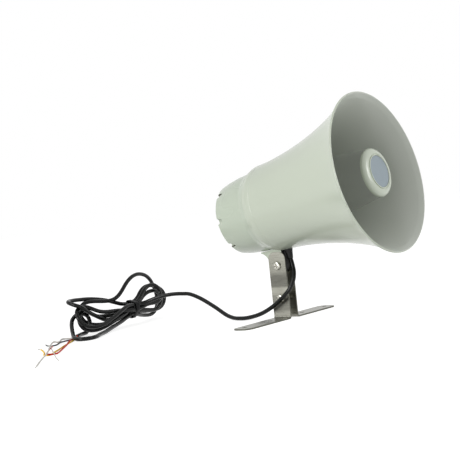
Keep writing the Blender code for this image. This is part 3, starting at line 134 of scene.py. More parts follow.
pick = nodes.new("ShaderNodeMixShader")
links.new(seen_rays(world.node_tree), pick.inputs[0])
links.new(room_light.outputs[0], pick.inputs[1])
links.new(seen_white.outputs[0], pick.inputs[2])
links.new(pick.outputs[0], world_out.inputs[0])
bpy.context.scene.world = world
bpy.context.scene.view_settings.view_transform = "Standard"
print("world:", world.name, "with a light of", ROOM_LIGHT)

# %% [markdown]
# ## Floor
#
# The floor is one large flat sheet, as white as the world where the camera sees it. A sheet of pure glow
# would show no shadow, so its glow is added to a matte surface, and a faint shadow stays under the feet
# and the cord.

# %% Floor
FLOOR_GLOW = 0.80
FLOOR_GREY = 0.62
floor_shape = bmesh.new()
bmesh.ops.create_grid(floor_shape, x_segments=1, y_segments=1, size=6.0)
floor_mesh = bpy.data.meshes.new("studio_floor")
floor_shape.to_mesh(floor_mesh)
floor_shape.free()
floor = bpy.data.objects.new("studio_floor", floor_mesh)
bpy.context.scene.collection.objects.link(floor)
white = bpy.data.materials.new("studio floor")
white.use_nodes = True
nodes = white.node_tree.nodes
links = white.node_tree.links
nodes.clear()
floor_out = nodes.new("ShaderNodeOutputMaterial")
glow = nodes.new("ShaderNodeEmission")
glow.inputs["Color"].default_value = (1, 1, 1, 1)
glow.inputs["Strength"].default_value = FLOOR_GLOW
matte = nodes.new("ShaderNodeBsdfDiffuse")
matte.inputs["Color"].default_value = (FLOOR_GREY, FLOOR_GREY, FLOOR_GREY, 1)
both = nodes.new("ShaderNodeAddShader")
links.new(matte.outputs[0], both.inputs[0])
links.new(glow.outputs[0], both.inputs[1])
mix = nodes.new("ShaderNodeMixShader")
links.new(seen_rays(white.node_tree), mix.inputs[0])
links.new(matte.outputs[0], mix.inputs[1])
links.new(both.outputs[0], mix.inputs[2])
links.new(mix.outputs[0], floor_out.inputs[0])
floor_mesh.materials.append(white)
print("floor:", floor.name)

# %% [markdown]
# ## Lamps
#
# Glossy plastic shows its lamps as soft patches of light, so their size and place shape the picture more
# than their power does. Square area lamps stand in for softboxes: a high one on the left, one in front of
# the mouth, and a low one that brightens the bracket.


# %% Lamps
def softbox(name, place, size, power):
    """A square lamp that faces the horn."""
    lamp = bpy.data.lights.new(name, "AREA")
    lamp.shape = "SQUARE"
    lamp.size = size
    lamp.energy = power
    holder = bpy.data.objects.new(name, lamp)
    holder.location = place
    aim = Vector((0.0, 0.0, 0.15)) - Vector(place)
    holder.rotation_euler = aim.to_track_quat("-Z", "Y").to_euler()
    bpy.context.scene.collection.objects.link(holder)
    return holder


softbox("key softbox", (-0.9, -1.9, 1.3), 0.9, 14)
softbox("front softbox", (2.2, 0.6, 0.9), 1.2, 27)
softbox("low softbox", (-0.2, -1.6, 0.27), 0.5, 10)

# %% [markdown]
# ## Finishes
#
# Every finish is made of nodes that read the piece's own position, so it needs no pictures. A small
# helper starts each one with the colour, gloss and metal that are the same all over. Others lay a soft
# noise over it, stretch that noise to a range of values and mix two colours by it.


# %% Helpers for finishes
def finish(name, colour, roughness, metallic=0.0, **extra):
    """A new material and its shader."""
    made = bpy.data.materials.new(name)
    made.use_nodes = True
    shader = made.node_tree.nodes["Principled BSDF"]
    shader.inputs["Base Color"].default_value = (*colour, 1)
    shader.inputs["Roughness"].default_value = roughness
    shader.inputs["Metallic"].default_value = metallic
    for key, value in extra.items():
        shader.inputs[key.replace("_", " ")].default_value = value
    return made, shader


def position(material):
    """The piece's own position, in metres."""
    return material.node_tree.nodes.new("ShaderNodeTexCoord").outputs["Object"]


def noise(material, source, scale, detail=2.0, roughness=0.5):
    """A soft random pattern of 0 to 1."""
    node = material.node_tree.nodes.new("ShaderNodeTexNoise")
    node.inputs["Scale"].default_value = scale
    node.inputs["Detail"].default_value = detail
    node.inputs["Roughness"].default_value = roughness
    material.node_tree.links.new(source, node.inputs["Vector"])
    return node.outputs["Fac"]


def remap(material, value, low, high, from_low=0.3, from_high=0.7):
    """Stretches a 0 to 1 pattern to a range of values."""
    node = material.node_tree.nodes.new("ShaderNodeMapRange")
    node.inputs["From Min"].default_value = from_low
    node.inputs["From Max"].default_value = from_high
    node.inputs["To Min"].default_value = low
    node.inputs["To Max"].default_value = high
    material.node_tree.links.new(value, node.inputs["Value"])
    return node.outputs["Result"]


def two_tone(material, value, first, second):
    """Mixes two colours by a pattern."""
    node = material.node_tree.nodes.new("ShaderNodeMix")
    node.data_type = "RGBA"
    node.inputs["A"].default_value = (*first, 1)
    node.inputs["B"].default_value = (*second, 1)
    material.node_tree.links.new(value, node.inputs["Factor"])
    return node.outputs["Result"]


# %% [markdown]
# ## Pale moulded plastic
#
# The bell is a glossy, weatherproof plastic in a warm grey-green. A real moulding is never one flat
# colour: it clouds a little where the melt flowed, and its gloss changes from place to place.


# %% Moulded plastic
def moulded_plastic(name, colour, cloud, gloss):
    made, shader = finish(
        name, colour, gloss, Specular_IOR_Level=0.5, Coat_Weight=0.25, Coat_Roughness=0.18
    )
    where = position(made)
    flow = noise(made, where, 9, 1)
    darker = tuple(c * (1 - cloud) for c in colour)
    clouded = two_tone(made, remap(made, flow, 0, 1), darker, colour)
    made.node_tree.links.new(clouded, shader.inputs["Base Color"])
    hazy = noise(made, where, 18, 1)
    made.node_tree.links.new(remap(made, hazy, gloss * 0.94, gloss * 1.06), shader.inputs["Roughness"])
    return made


shell = moulded_plastic("pale moulded plastic", (0.565, 0.620, 0.512), 0.02, 0.24)
cover_shell = moulded_plastic("cover plastic", (0.520, 0.585, 0.478), 0.02, 0.26)
# A dark plastic for the channel walls: painted shade in the recesses.
channel_painted_shade = moulded_plastic("channel plastic, painted shade", (0.12, 0.115, 0.085), 0.2, 0.5)
inner_shell = moulded_plastic("bell inside plastic", (0.555, 0.585, 0.525), 0.02, 0.34)
# The bullet is the bell's plastic; its much darker colour is painted shade from deep inside the bell.
bullet_painted_shade = moulded_plastic("bullet plastic, painted shade", (0.31, 0.325, 0.295), 0.02, 0.38)
print("finishes:", shell.name, cover_shell.name, bullet_painted_shade.name)

# %% [markdown]
# ## Steel
#
# Steel is never evenly bright, because the brush or the drum that finished it leaves fine scratches. A
# noise with very fine grain changes both its tone and its gloss. Drawn out along one axis it would look
# brushed, and even in all directions it looks tumbled, as screws and punched edges do.


# %% Helpers for steel
def stretched(material, source, scale):
    """The position, scaled along each axis so that a pattern is drawn out along the piece."""
    mapping = material.node_tree.nodes.new("ShaderNodeMapping")
    mapping.inputs["Scale"].default_value = scale
    material.node_tree.links.new(source, mapping.inputs["Vector"])
    return mapping.outputs["Vector"]

def bumps(material, shader, value, strength, distance):
    """Lets a pattern raise the surface a little."""
    node = material.node_tree.nodes.new("ShaderNodeBump")
    node.inputs["Strength"].default_value = strength
    node.inputs["Distance"].default_value = distance
    material.node_tree.links.new(value, node.inputs["Height"])
    material.node_tree.links.new(node.outputs["Normal"], shader.inputs["Normal"])

def brushed_steel(name, colour, along, gloss):
    """Steel brushed along one axis: the noise is drawn out along the brush's path."""
    made, shader = finish(name, colour, gloss, 1.0)
    where = position(made)
    grain = noise(made, stretched(made, where, along), 1.0, 4, 0.6)
    made.node_tree.links.new(remap(made, grain, gloss * 0.75, gloss * 1.35), shader.inputs["Roughness"])
    lighter = tuple(min(1, c * 1.08) for c in colour)
    darker = tuple(c * 0.88 for c in colour)
    scratched = two_tone(made, remap(made, grain, 0, 1), darker, lighter)
    made.node_tree.links.new(scratched, shader.inputs["Base Color"])
    bumps(made, shader, grain, 0.12, 0.0002)
    return made

# %% Steel for screws, plates, sheared edges and the disc
darker_edge_steel = brushed_steel("darker strap edge", (0.12, 0.12, 0.10), (900, 900, 900), 0.5)
screw_steel = brushed_steel("bright screw steel", (0.48, 0.47, 0.42), (900, 900, 900), 0.2)
plated = brushed_steel("plated steel", (0.50, 0.49, 0.45), (500, 500, 500), 0.36)
disc_finish = brushed_steel("satin disc", (0.24, 0.28, 0.305), (700, 700, 700), 0.42)
tinned = brushed_steel("tinned strands", (0.50, 0.49, 0.46), (2600, 2600, 2600), 0.42)
print("steels:", [m.name for m in (darker_edge_steel, screw_steel, plated, disc_finish, tinned)])
# %% [markdown]
# ## The ground face of the straps
#
# A ground strap shows bands up its height, dark and light, where its bends turn towards darker and
# lighter parts of the room. Plain lamps don't give these reflections, so they are painted reflections: a
# ramp over the strap's own height paints them into its colour, and a slow noise makes their edges
# wander. Fine streaks across the width stand for the grinding.


# %% Strap steel
def strap_finish():
    """Strap steel ground across its width, with reflections painted as bands of tone up its height."""
    made, shader = finish("ground stainless strap, painted reflections", (0.3, 0.3, 0.26), 0.3, 1.0)
    where = position(made)
    split = made.node_tree.nodes.new("ShaderNodeSeparateXYZ")
    made.node_tree.links.new(where, split.inputs[0])
    grain = noise(made, stretched(made, where, (60, 1100, 1100)), 1.0, 4, 0.6)
    drift = noise(made, stretched(made, where, (12, 60, 60)), 1.0, 2)
    height = remap(made, split.outputs["Z"], 0, 1, 0.0, 0.088)
    wander = made.node_tree.nodes.new("ShaderNodeMath")
    wander.operation = "MULTIPLY_ADD"
    wander.inputs[1].default_value = 0.10
    made.node_tree.links.new(drift, wander.inputs[0])
    made.node_tree.links.new(height, wander.inputs[2])
    # Painted reflections: dark and light tones at given heights up the strap.
    reflection_bands = made.node_tree.nodes.new("ShaderNodeValToRGB")
    reflection_tones = ((0.05, 0.25), (0.13, 0.34), (0.18, 0.22), (0.40, 0.24), (0.46, 0.36), (0.51, 0.36))
    reflection_tones += ((0.54, 0.18), (0.65, 0.15), (0.70, 0.17), (0.76, 0.28), (0.90, 0.31), (1.0, 0.35))
    for place, tone in reflection_tones[1:-1]:
        reflection_bands.color_ramp.elements.new(place)
    for stop, (place, tone) in zip(reflection_bands.color_ramp.elements, reflection_tones):
        stop.position = place
        stop.color = (tone, tone * 0.995, tone * 0.86, 1)
    made.node_tree.links.new(wander.outputs[0], reflection_bands.inputs[0])
    streaks = two_tone(made, remap(made, grain, 0, 1), (0.80, 0.80, 0.80), (1.0, 1.0, 1.0))
    product = made.node_tree.nodes.new("ShaderNodeMix")
    product.data_type = "RGBA"
    product.blend_type = "MULTIPLY"
    product.inputs["Factor"].default_value = 1.0
    made.node_tree.links.new(reflection_bands.outputs[0], product.inputs["A"])
    made.node_tree.links.new(streaks, product.inputs["B"])
    made.node_tree.links.new(product.outputs["Result"], shader.inputs["Base Color"])
    made.node_tree.links.new(remap(made, grain, 0.24, 0.40), shader.inputs["Roughness"])
    return made

strap_steel = strap_finish()
print("bands up the strap:", strap_steel.name)

# %% [markdown]
# ## Rubber, plastic, wire and film
#
# Everything else is matte or satin with a very fine mottle, so one helper makes it from two close colours.
# The cord's jacket is nearly black. Its index of refraction is lowered, because a white room would
# otherwise turn its glossy sides grey.


# %% Helper for mottled finishes
def speckled(name, colour, second, scale, gloss, bump=0.1, depth=0.0002, **extra):
    """A finish with a fine two-colour speckle, for rubber, ferrite, tape and wire."""
    made, shader = finish(name, colour, gloss, **extra)
    where = position(made)
    grain = noise(made, where, scale, 3)
    mottled = two_tone(made, remap(made, grain, 0, 1), colour, second)
    made.node_tree.links.new(mottled, shader.inputs["Base Color"])
    made.node_tree.links.new(remap(made, grain, gloss * 0.85, gloss * 1.2), shader.inputs["Roughness"])
    bumps(made, shader, noise(made, where, scale * 3, 2), bump, depth)
    return made

# %% Jacket, rubber, driver, tie and cores
cord_jacket = speckled(
    "cord jacket", (0.003, 0.0036, 0.0032), (0.0045, 0.005, 0.0047), 40, 0.18, 0.0, IOR=1.3
)
dark_rubber, grey_rubber = (0.006, 0.006, 0.006), (0.010, 0.010, 0.010)
soft_rubber = speckled(
    "gland and gasket rubber", dark_rubber, grey_rubber, 500, 0.5, Specular_IOR_Level=0.25
)
black_plastic = speckled("black driver plastic", (0.022, 0.022, 0.023), (0.035, 0.035, 0.036), 700, 0.45)
ferrite = speckled("ferrite", (0.045, 0.045, 0.05), (0.07, 0.07, 0.075), 900, 0.75, 0.3)
amber_film = speckled("amber film", (0.42, 0.22, 0.06), (0.48, 0.28, 0.09), 300, 0.35)
copper = speckled("coil wire", (0.45, 0.16, 0.06), (0.55, 0.24, 0.1), 900, 0.35, Metallic=1.0)
tape = speckled("winding tape", (0.60, 0.46, 0.10), (0.66, 0.53, 0.16), 200, 0.5)
tie_plastic = speckled("tie plastic", (0.004, 0.004, 0.0045), (0.007, 0.007, 0.0075), 500, 0.45, IOR=1.25)
core_finishes = {
    "core_red": speckled("red core", (0.55, 0.015, 0.003), (0.62, 0.030, 0.006), 600, 0.5, IOR=1.25),
    "core_yellow": speckled("yellow core", (0.86, 0.52, 0.004), (0.92, 0.60, 0.015), 600, 0.5, IOR=1.25),
    "core_black": speckled("black core", (0.035, 0.037, 0.04), (0.06, 0.062, 0.065), 600, 0.4),
    "core_white": speckled("white core", (0.62, 0.60, 0.55), (0.70, 0.68, 0.64), 600, 0.4),
}
print("materials:", len(bpy.data.materials))

# %% [markdown]
# ## Turned pieces
#
# The bell, cup and hub are all turned shapes: a profile swung round the axis. `bmesh.ops.spin` does
# this, and `use_merge` closes the seam. Points on the axis are merged afterwards. A second helper turns
# any finished shape into an object, with its faces outward, its finish and the body that it moves with.


# %% Helpers for shapes
def settle(name, shape, material, body, replaced=(), smooth_angle=32, space=horn_space):
    """Makes an object of a bmesh, moves it into place in its mesh and hands it to its body."""
    bmesh.ops.remove_doubles(shape, verts=shape.verts, dist=0.00001)
    bmesh.ops.recalc_face_normals(shape, faces=shape.faces)
    bmesh.ops.transform(shape, matrix=space, verts=shape.verts)
    mesh = bpy.data.meshes.new(name)
    shape.to_mesh(mesh)
    shape.free()
    mesh.materials.append(material)
    mesh.shade_smooth()
    mesh.set_sharp_from_angle(angle=math.radians(smooth_angle))
    piece = bpy.data.objects.new(name, mesh)
    bpy.context.scene.collection.objects.link(piece)
    if body:
        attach(piece, body)
    if replaced:
        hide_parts(*replaced)
    return piece


def swing(profile, steps, closed=True):
    """A bmesh of a profile of (radius, height) swung round z."""
    shape = bmesh.new()
    verts = [shape.verts.new((r, 0, z)) for r, z in profile]
    edges = [shape.edges.new(pair) for pair in zip(verts, verts[1:])]
    if closed:
        edges.append(shape.edges.new((verts[-1], verts[0])))
    bmesh.ops.spin(
        shape,
        geom=verts + edges,
        axis=(0, 0, 1),
        cent=(0, 0, 0),
        angle=2 * math.pi,
        steps=steps,
        use_merge=True,
    )
    return shape


# %% [markdown]
# ## The cord
#
# Between five and six millimetres thick and about two and a quarter metres long, tied in a hank and
# bared at its end. A cord never has corners, so it is one smooth line through many points. The points of
# the loops were laid along the runs that can be seen, guessed where runs hide each other, and then
# relaxed.

# %% Points of the cord, from the gland's tip, in metres from the bracket's middle
CORD_POINTS = (
    (0.0163, 0.0000, 0.0777), (0.0192, -0.0015, 0.0694), (0.0229, -0.0056, 0.0600),
    (0.0240, -0.0107, 0.0503), (0.0206, -0.0146, 0.0410), (0.0134, -0.0166, 0.0329),
    (0.0030, -0.0175, 0.0246), (-0.0095, -0.0180, 0.0168), (-0.0262, -0.0180, 0.0092),
    (-0.0455, -0.0180, 0.0044), (-0.0655, -0.0176, 0.0029), (-0.0860, -0.0130, 0.0058),
    (-0.1120, -0.0080, 0.0180), (-0.1400, -0.0040, 0.0305), (-0.1620, -0.0008, 0.0366),
    (-0.1722, -0.0012, 0.0372), (-0.1812, -0.0020, 0.0375), (-0.1901, -0.0033, 0.0373),
    (-0.1989, -0.0053, 0.0366), (-0.2075, -0.0079, 0.0353), (-0.2158, -0.0109, 0.0334),
    (-0.2238, -0.0143, 0.0309), (-0.2310, -0.0190, 0.0284), (-0.2348, -0.0270, 0.0275),
    (-0.2354, -0.0360, 0.0278), (-0.2347, -0.0450, 0.0281), (-0.2329, -0.0538, 0.0278),
    (-0.2312, -0.0625, 0.0260), (-0.2299, -0.0710, 0.0234), (-0.2288, -0.0795, 0.0204),
    (-0.2278, -0.0880, 0.0176), (-0.2267, -0.0966, 0.0151), (-0.2257, -0.1054, 0.0131),
    (-0.2251, -0.1143, 0.0116), (-0.2250, -0.1233, 0.0109), (-0.2256, -0.1322, 0.0115),
    (-0.2270, -0.1407, 0.0142), (-0.2295, -0.1474, 0.0196), (-0.2331, -0.1501, 0.0272),
    (-0.2367, -0.1471, 0.0347), (-0.2382, -0.1396, 0.0391), (-0.2371, -0.1307, 0.0390),
    (-0.2354, -0.1225, 0.0358), (-0.2344, -0.1144, 0.0320), (-0.2342, -0.1059, 0.0289),
    (-0.2343, -0.0970, 0.0271), (-0.2347, -0.0881, 0.0261), (-0.2352, -0.0791, 0.0255),
    (-0.2360, -0.0701, 0.0249), (-0.2363, -0.0611, 0.0239), (-0.2355, -0.0522, 0.0229),
    (-0.2346, -0.0432, 0.0225), (-0.2346, -0.0342, 0.0220), (-0.2348, -0.0251, 0.0221),
    (-0.2344, -0.0163, 0.0237), (-0.2335, -0.0074, 0.0252), (-0.2325, 0.0016, 0.0253),
    (-0.2321, 0.0105, 0.0259), (-0.2328, 0.0182, 0.0302), (-0.2347, 0.0214, 0.0383),
    (-0.2368, 0.0185, 0.0463), (-0.2383, 0.0109, 0.0507), (-0.2389, 0.0020, 0.0502),
    (-0.2393, -0.0060, 0.0461), (-0.2399, -0.0125, 0.0399), (-0.2404, -0.0190, 0.0336),
    (-0.2407, -0.0268, 0.0292), (-0.2405, -0.0350, 0.0255), (-0.2400, -0.0432, 0.0215),
    (-0.2387, -0.0515, 0.0184), (-0.2367, -0.0601, 0.0164), (-0.2348, -0.0688, 0.0148),
    (-0.2332, -0.0775, 0.0131), (-0.2320, -0.0863, 0.0112), (-0.2312, -0.0950, 0.0092),
    (-0.2308, -0.1039, 0.0073), (-0.2311, -0.1128, 0.0060), (-0.2323, -0.1217, 0.0056),
    (-0.2342, -0.1304, 0.0068), (-0.2363, -0.1382, 0.0108), (-0.2381, -0.1426, 0.0182),
    (-0.2397, -0.1415, 0.0268), (-0.2411, -0.1351, 0.0326), (-0.2421, -0.1263, 0.0331),
    (-0.2425, -0.1182, 0.0293), (-0.2428, -0.1104, 0.0247), (-0.2428, -0.1019, 0.0216),
    (-0.2422, -0.0930, 0.0204), (-0.2411, -0.0841, 0.0197), (-0.2403, -0.0751, 0.0193),
    (-0.2404, -0.0661, 0.0199), (-0.2416, -0.0573, 0.0215), (-0.2436, -0.0487, 0.0232),
    (-0.2456, -0.0399, 0.0243), (-0.2457, -0.0309, 0.0249), (-0.2442, -0.0223, 0.0268),
    (-0.2432, -0.0146, 0.0313), (-0.2429, -0.0072, 0.0365), (-0.2431, 0.0011, 0.0401),
    (-0.2434, 0.0100, 0.0416), (-0.2437, 0.0189, 0.0411), (-0.2443, 0.0273, 0.0380),
    (-0.2452, 0.0329, 0.0311), (-0.2464, 0.0328, 0.0223), (-0.2472, 0.0271, 0.0155),
    (-0.2474, 0.0184, 0.0134), (-0.2471, 0.0095, 0.0144), (-0.2466, 0.0006, 0.0158),
    (-0.2460, -0.0084, 0.0171), (-0.2455, -0.0173, 0.0180), (-0.2451, -0.0263, 0.0186),
    (-0.2447, -0.0354, 0.0183), (-0.2445, -0.0443, 0.0173), (-0.2445, -0.0533, 0.0160),
    (-0.2444, -0.0622, 0.0149), (-0.2435, -0.0712, 0.0143), (-0.2421, -0.0801, 0.0141),
    (-0.2402, -0.0889, 0.0149), (-0.2386, -0.0975, 0.0172), (-0.2377, -0.1058, 0.0207),
    (-0.2373, -0.1139, 0.0247), (-0.2364, -0.1219, 0.0287), (-0.2344, -0.1298, 0.0327),
    (-0.2325, -0.1376, 0.0368), (-0.2343, -0.1450, 0.0412), (-0.2409, -0.1495, 0.0448),
    (-0.2494, -0.1485, 0.0472), (-0.2558, -0.1424, 0.0481), (-0.2591, -0.1341, 0.0480),
    (-0.2607, -0.1252, 0.0477), (-0.2615, -0.1162, 0.0471), (-0.2617, -0.1072, 0.0464),
    (-0.2615, -0.0982, 0.0455), (-0.2608, -0.0893, 0.0442), (-0.2598, -0.0805, 0.0426),
    (-0.2585, -0.0718, 0.0405), (-0.2564, -0.0635, 0.0378), (-0.2531, -0.0557, 0.0345),
    (-0.2497, -0.0480, 0.0314), (-0.2476, -0.0393, 0.0300), (-0.2468, -0.0304, 0.0302),
    (-0.2468, -0.0216, 0.0321), (-0.2476, -0.0138, 0.0365), (-0.2489, -0.0067, 0.0420),
    (-0.2501, 0.0011, 0.0464), (-0.2510, 0.0097, 0.0488), (-0.2514, 0.0187, 0.0490),
    (-0.2517, 0.0276, 0.0473), (-0.2521, 0.0361, 0.0442), (-0.2528, 0.0439, 0.0399),
    (-0.2536, 0.0500, 0.0334), (-0.2547, 0.0517, 0.0248), (-0.2556, 0.0477, 0.0170),
    (-0.2560, 0.0398, 0.0129), (-0.2558, 0.0309, 0.0120), (-0.2553, 0.0218, 0.0122),
    (-0.2545, 0.0128, 0.0127), (-0.2537, 0.0039, 0.0134), (-0.2528, -0.0050, 0.0148),
    (-0.2519, -0.0139, 0.0163), (-0.2508, -0.0228, 0.0166), (-0.2498, -0.0318, 0.0160),
    (-0.2492, -0.0407, 0.0148), (-0.2489, -0.0496, 0.0132), (-0.2485, -0.0584, 0.0114),
    (-0.2483, -0.0673, 0.0100), (-0.2483, -0.0763, 0.0090), (-0.2488, -0.0853, 0.0087),
    (-0.2498, -0.0943, 0.0091), (-0.2511, -0.1031, 0.0104), (-0.2528, -0.1115, 0.0132),
    (-0.2546, -0.1186, 0.0184), (-0.2566, -0.1221, 0.0264), (-0.2580, -0.1199, 0.0349),
    (-0.2583, -0.1130, 0.0404), (-0.2578, -0.1042, 0.0422), (-0.2568, -0.0952, 0.0418),
    (-0.2557, -0.0863, 0.0406), (-0.2542, -0.0775, 0.0394), (-0.2522, -0.0687, 0.0388),
    (-0.2503, -0.0600, 0.0399), (-0.2490, -0.0519, 0.0436), (-0.2479, -0.0450, 0.0494),
    (-0.2472, -0.0387, 0.0558), (-0.2470, -0.0317, 0.0615), (-0.2475, -0.0237, 0.0657),
    (-0.2483, -0.0151, 0.0681), (-0.2492, -0.0061, 0.0687), (-0.2502, 0.0028, 0.0675),
    (-0.2513, 0.0113, 0.0647), (-0.2527, 0.0190, 0.0604), (-0.2546, 0.0259, 0.0549),
    (-0.2566, 0.0318, 0.0484), (-0.2583, 0.0368, 0.0410), (-0.2598, 0.0406, 0.0330),
    (-0.2611, 0.0424, 0.0242), (-0.2617, 0.0407, 0.0155), (-0.2613, 0.0347, 0.0089),
    (-0.2602, 0.0263, 0.0060), (-0.2588, 0.0174, 0.0058), (-0.2572, 0.0086, 0.0068),
    (-0.2550, -0.0001, 0.0081), (-0.2521, -0.0084, 0.0099), (-0.2488, -0.0166, 0.0119),
    (-0.2461, -0.0251, 0.0130), (-0.2437, -0.0338, 0.0131), (-0.2413, -0.0425, 0.0128),
    (-0.2386, -0.0511, 0.0118), (-0.2360, -0.0596, 0.0102), (-0.2334, -0.0681, 0.0087),
    (-0.2307, -0.0767, 0.0075), (-0.2278, -0.0852, 0.0065), (-0.2247, -0.0936, 0.0057),
    (-0.2213, -0.1019, 0.0049), (-0.2179, -0.1102, 0.0041), (-0.2143, -0.1185, 0.0034),
    (-0.2107, -0.1268, 0.0029), (-0.2068, -0.1349, 0.0027), (-0.2025, -0.1429, 0.0026),
    (-0.1979, -0.1507, 0.0026), (-0.1939, -0.1588, 0.0026), (-0.1924, -0.1676, 0.0026),
    (-0.1959, -0.1757, 0.0026), (-0.2036, -0.1800, 0.0029), (-0.2124, -0.1788, 0.0039),
    (-0.2199, -0.1743, 0.0059), (-0.2264, -0.1690, 0.0093), (-0.2322, -0.1640, 0.0140),
    (-0.2373, -0.1588, 0.0194), (-0.2416, -0.1526, 0.0243), (-0.2446, -0.1449, 0.0278),
    (-0.2460, -0.1362, 0.0296), (-0.2462, -0.1272, 0.0293), (-0.2464, -0.1194, 0.0251),
    (-0.2466, -0.1157, 0.0170), (-0.2464, -0.1180, 0.0085), (-0.2453, -0.1252, 0.0034),
    (-0.2431, -0.1338, 0.0026), (-0.2398, -0.1422, 0.0026), (-0.2355, -0.1502, 0.0026),
    (-0.2310, -0.1580, 0.0026),
)
to_frame = Vector((PIVOT.x, 0, 0))
print("points along the cord:", len(CORD_POINTS))

# %% [markdown]
# ## From points to a tube
#
# A smooth line runs through all points and keeps even steps, however far apart the points are. A tube
# follows it, drawn as a curve with a round section and kept as a mesh. Where bare strands leave their
# insulation the tube gets thinner.


# %% Helpers for lines and tubes
BARE_WIDTH = 0.62


def smooth_line(points, step):
    """A smooth line through the points, cut into even steps."""
    knots = np.array(points, float)
    knots = np.vstack([2 * knots[0] - knots[1], knots, 2 * knots[-1] - knots[-2]])
    pieces = []
    for a, b, c, d in zip(knots, knots[1:], knots[2:], knots[3:]):
        t1 = np.linalg.norm(b - a) ** 0.5
        t2 = t1 + np.linalg.norm(c - b) ** 0.5
        t3 = t2 + np.linalg.norm(d - c) ** 0.5
        t = np.linspace(t1, t2, 16, endpoint=False)[:, None]
        ab = ((t1 - t) * a + t * b) / t1
        bc = ((t2 - t) * b + (t - t1) * c) / (t2 - t1)
        cd = ((t3 - t) * c + (t - t2) * d) / (t3 - t2)
        near = ((t2 - t) * ab + t * bc) / t2
        far = ((t3 - t) * bc + (t - t1) * cd) / (t3 - t1)
        pieces.append(((t2 - t) * near + (t - t1) * far) / (t2 - t1))
    dense = np.vstack(pieces + [knots[-2][None]])
    run = np.r_[0, np.cumsum(np.linalg.norm(np.diff(dense, axis=0), axis=1))]
    spots = np.linspace(0, run[-1], int(run[-1] / step) + 1)
    return np.stack([np.interp(spots, run, dense[:, i]) for i in range(3)], axis=1)


def tube(name, line, radius, material, body, replaced=(), sides=3, thin_from=None):
    """A round tube along a line, with closed ends; it is thinner from the point thin_from on."""
    path = bpy.data.curves.new(name, "CURVE")
    path.dimensions = "3D"
    path.bevel_depth = radius
    path.bevel_resolution = sides
    path.use_fill_caps = True
    spline = path.splines.new("POLY")
    spline.points.add(len(line) - 1)
    for point, place in zip(spline.points, line):
        point.co = (*place, 1)
    if thin_from:
        for point in spline.points[thin_from:]:
            point.radius = BARE_WIDTH
    holder = bpy.data.objects.new(name + "_line", path)
    bpy.context.scene.collection.objects.link(holder)
    graph = bpy.context.evaluated_depsgraph_get()
    mesh = bpy.data.meshes.new_from_object(holder.evaluated_get(graph))
    bpy.data.objects.remove(holder)
    shape = bmesh.new()
    shape.from_mesh(mesh)
    bpy.data.meshes.remove(mesh)
    return settle(name, shape, material, body, replaced, 50, Matrix())


# %% [markdown]
# ## Room for every run
#
# Two runs of a cord touch but never share a place. Each point that lies too near another run is pushed
# half of the way that is missing. The push fades along the line, which keeps it smooth, and it is
# repeated forty times. Points of the same run are neighbours anyway and don't count.

# %% Helper that pushes the runs apart
CORD_DIAMETER = 0.0057
CORD_STEP = 0.0016
SAME_RUN = 12
RUN_GAP = 0.00008
FLOOR_GAP = 0.00005


def push_apart(line, gap, rounds, held):
    """Moves the runs of a line apart over the given rounds; each push fades along the line."""
    fade = np.exp(-((np.arange(-9, 10) / 4.0) ** 2))
    fade /= fade.sum()
    for _ in range(rounds):
        finder = KDTree(len(line))
        for i, place in enumerate(line):
            finder.insert(place, i)
        finder.balance()
        shift = np.zeros_like(line)
        for i, place in enumerate(line):
            for other, j, reach in finder.find_range(place, gap):
                away = (place - np.array(other)) / max(reach, 1e-6) * (gap - reach) / 2
                if abs(i - j) > SAME_RUN and np.linalg.norm(away) > np.linalg.norm(shift[i]):
                    shift[i] = away
        spread = np.stack([np.convolve(shift[:, k], fade, "same") for k in range(3)], axis=1)
        spread[-held:] = 0
        line = line + 1.5 * spread
        line[:, 2] = np.maximum(line[:, 2], CORD_DIAMETER / 2 + FLOOR_GAP)
    return line


# %% Lift the cord softly off the floor, give its runs room and sweep it
SOFT_LIFT = 0.0004
cord_line = smooth_line(CORD_POINTS, CORD_STEP) + np.array(to_frame)
above = cord_line[:, 2] - CORD_DIAMETER / 2 - FLOOR_GAP
lifted = SOFT_LIFT * np.exp(np.minimum(above, SOFT_LIFT) / SOFT_LIFT - 1)
cord_line[:, 2] += np.where(above < SOFT_LIFT, lifted - above, 0)
cord_line = push_apart(cord_line, CORD_DIAMETER + RUN_GAP, rounds=40, held=14)
cord = tube("cord", cord_line, CORD_DIAMETER / 2, cord_jacket, None, ("cord_lead", "cord_hank"))

# %% [markdown]
# ## The bared end
#
# Four thin cores come out of the jacket in a square bundle, pass under the last turn and stray over the
# floor. Their insulation stops short of the end, where the twisted copper is tinned and thinner. Each core
# is one tube along its own line, which gets thinner and changes its material where the insulation stops.

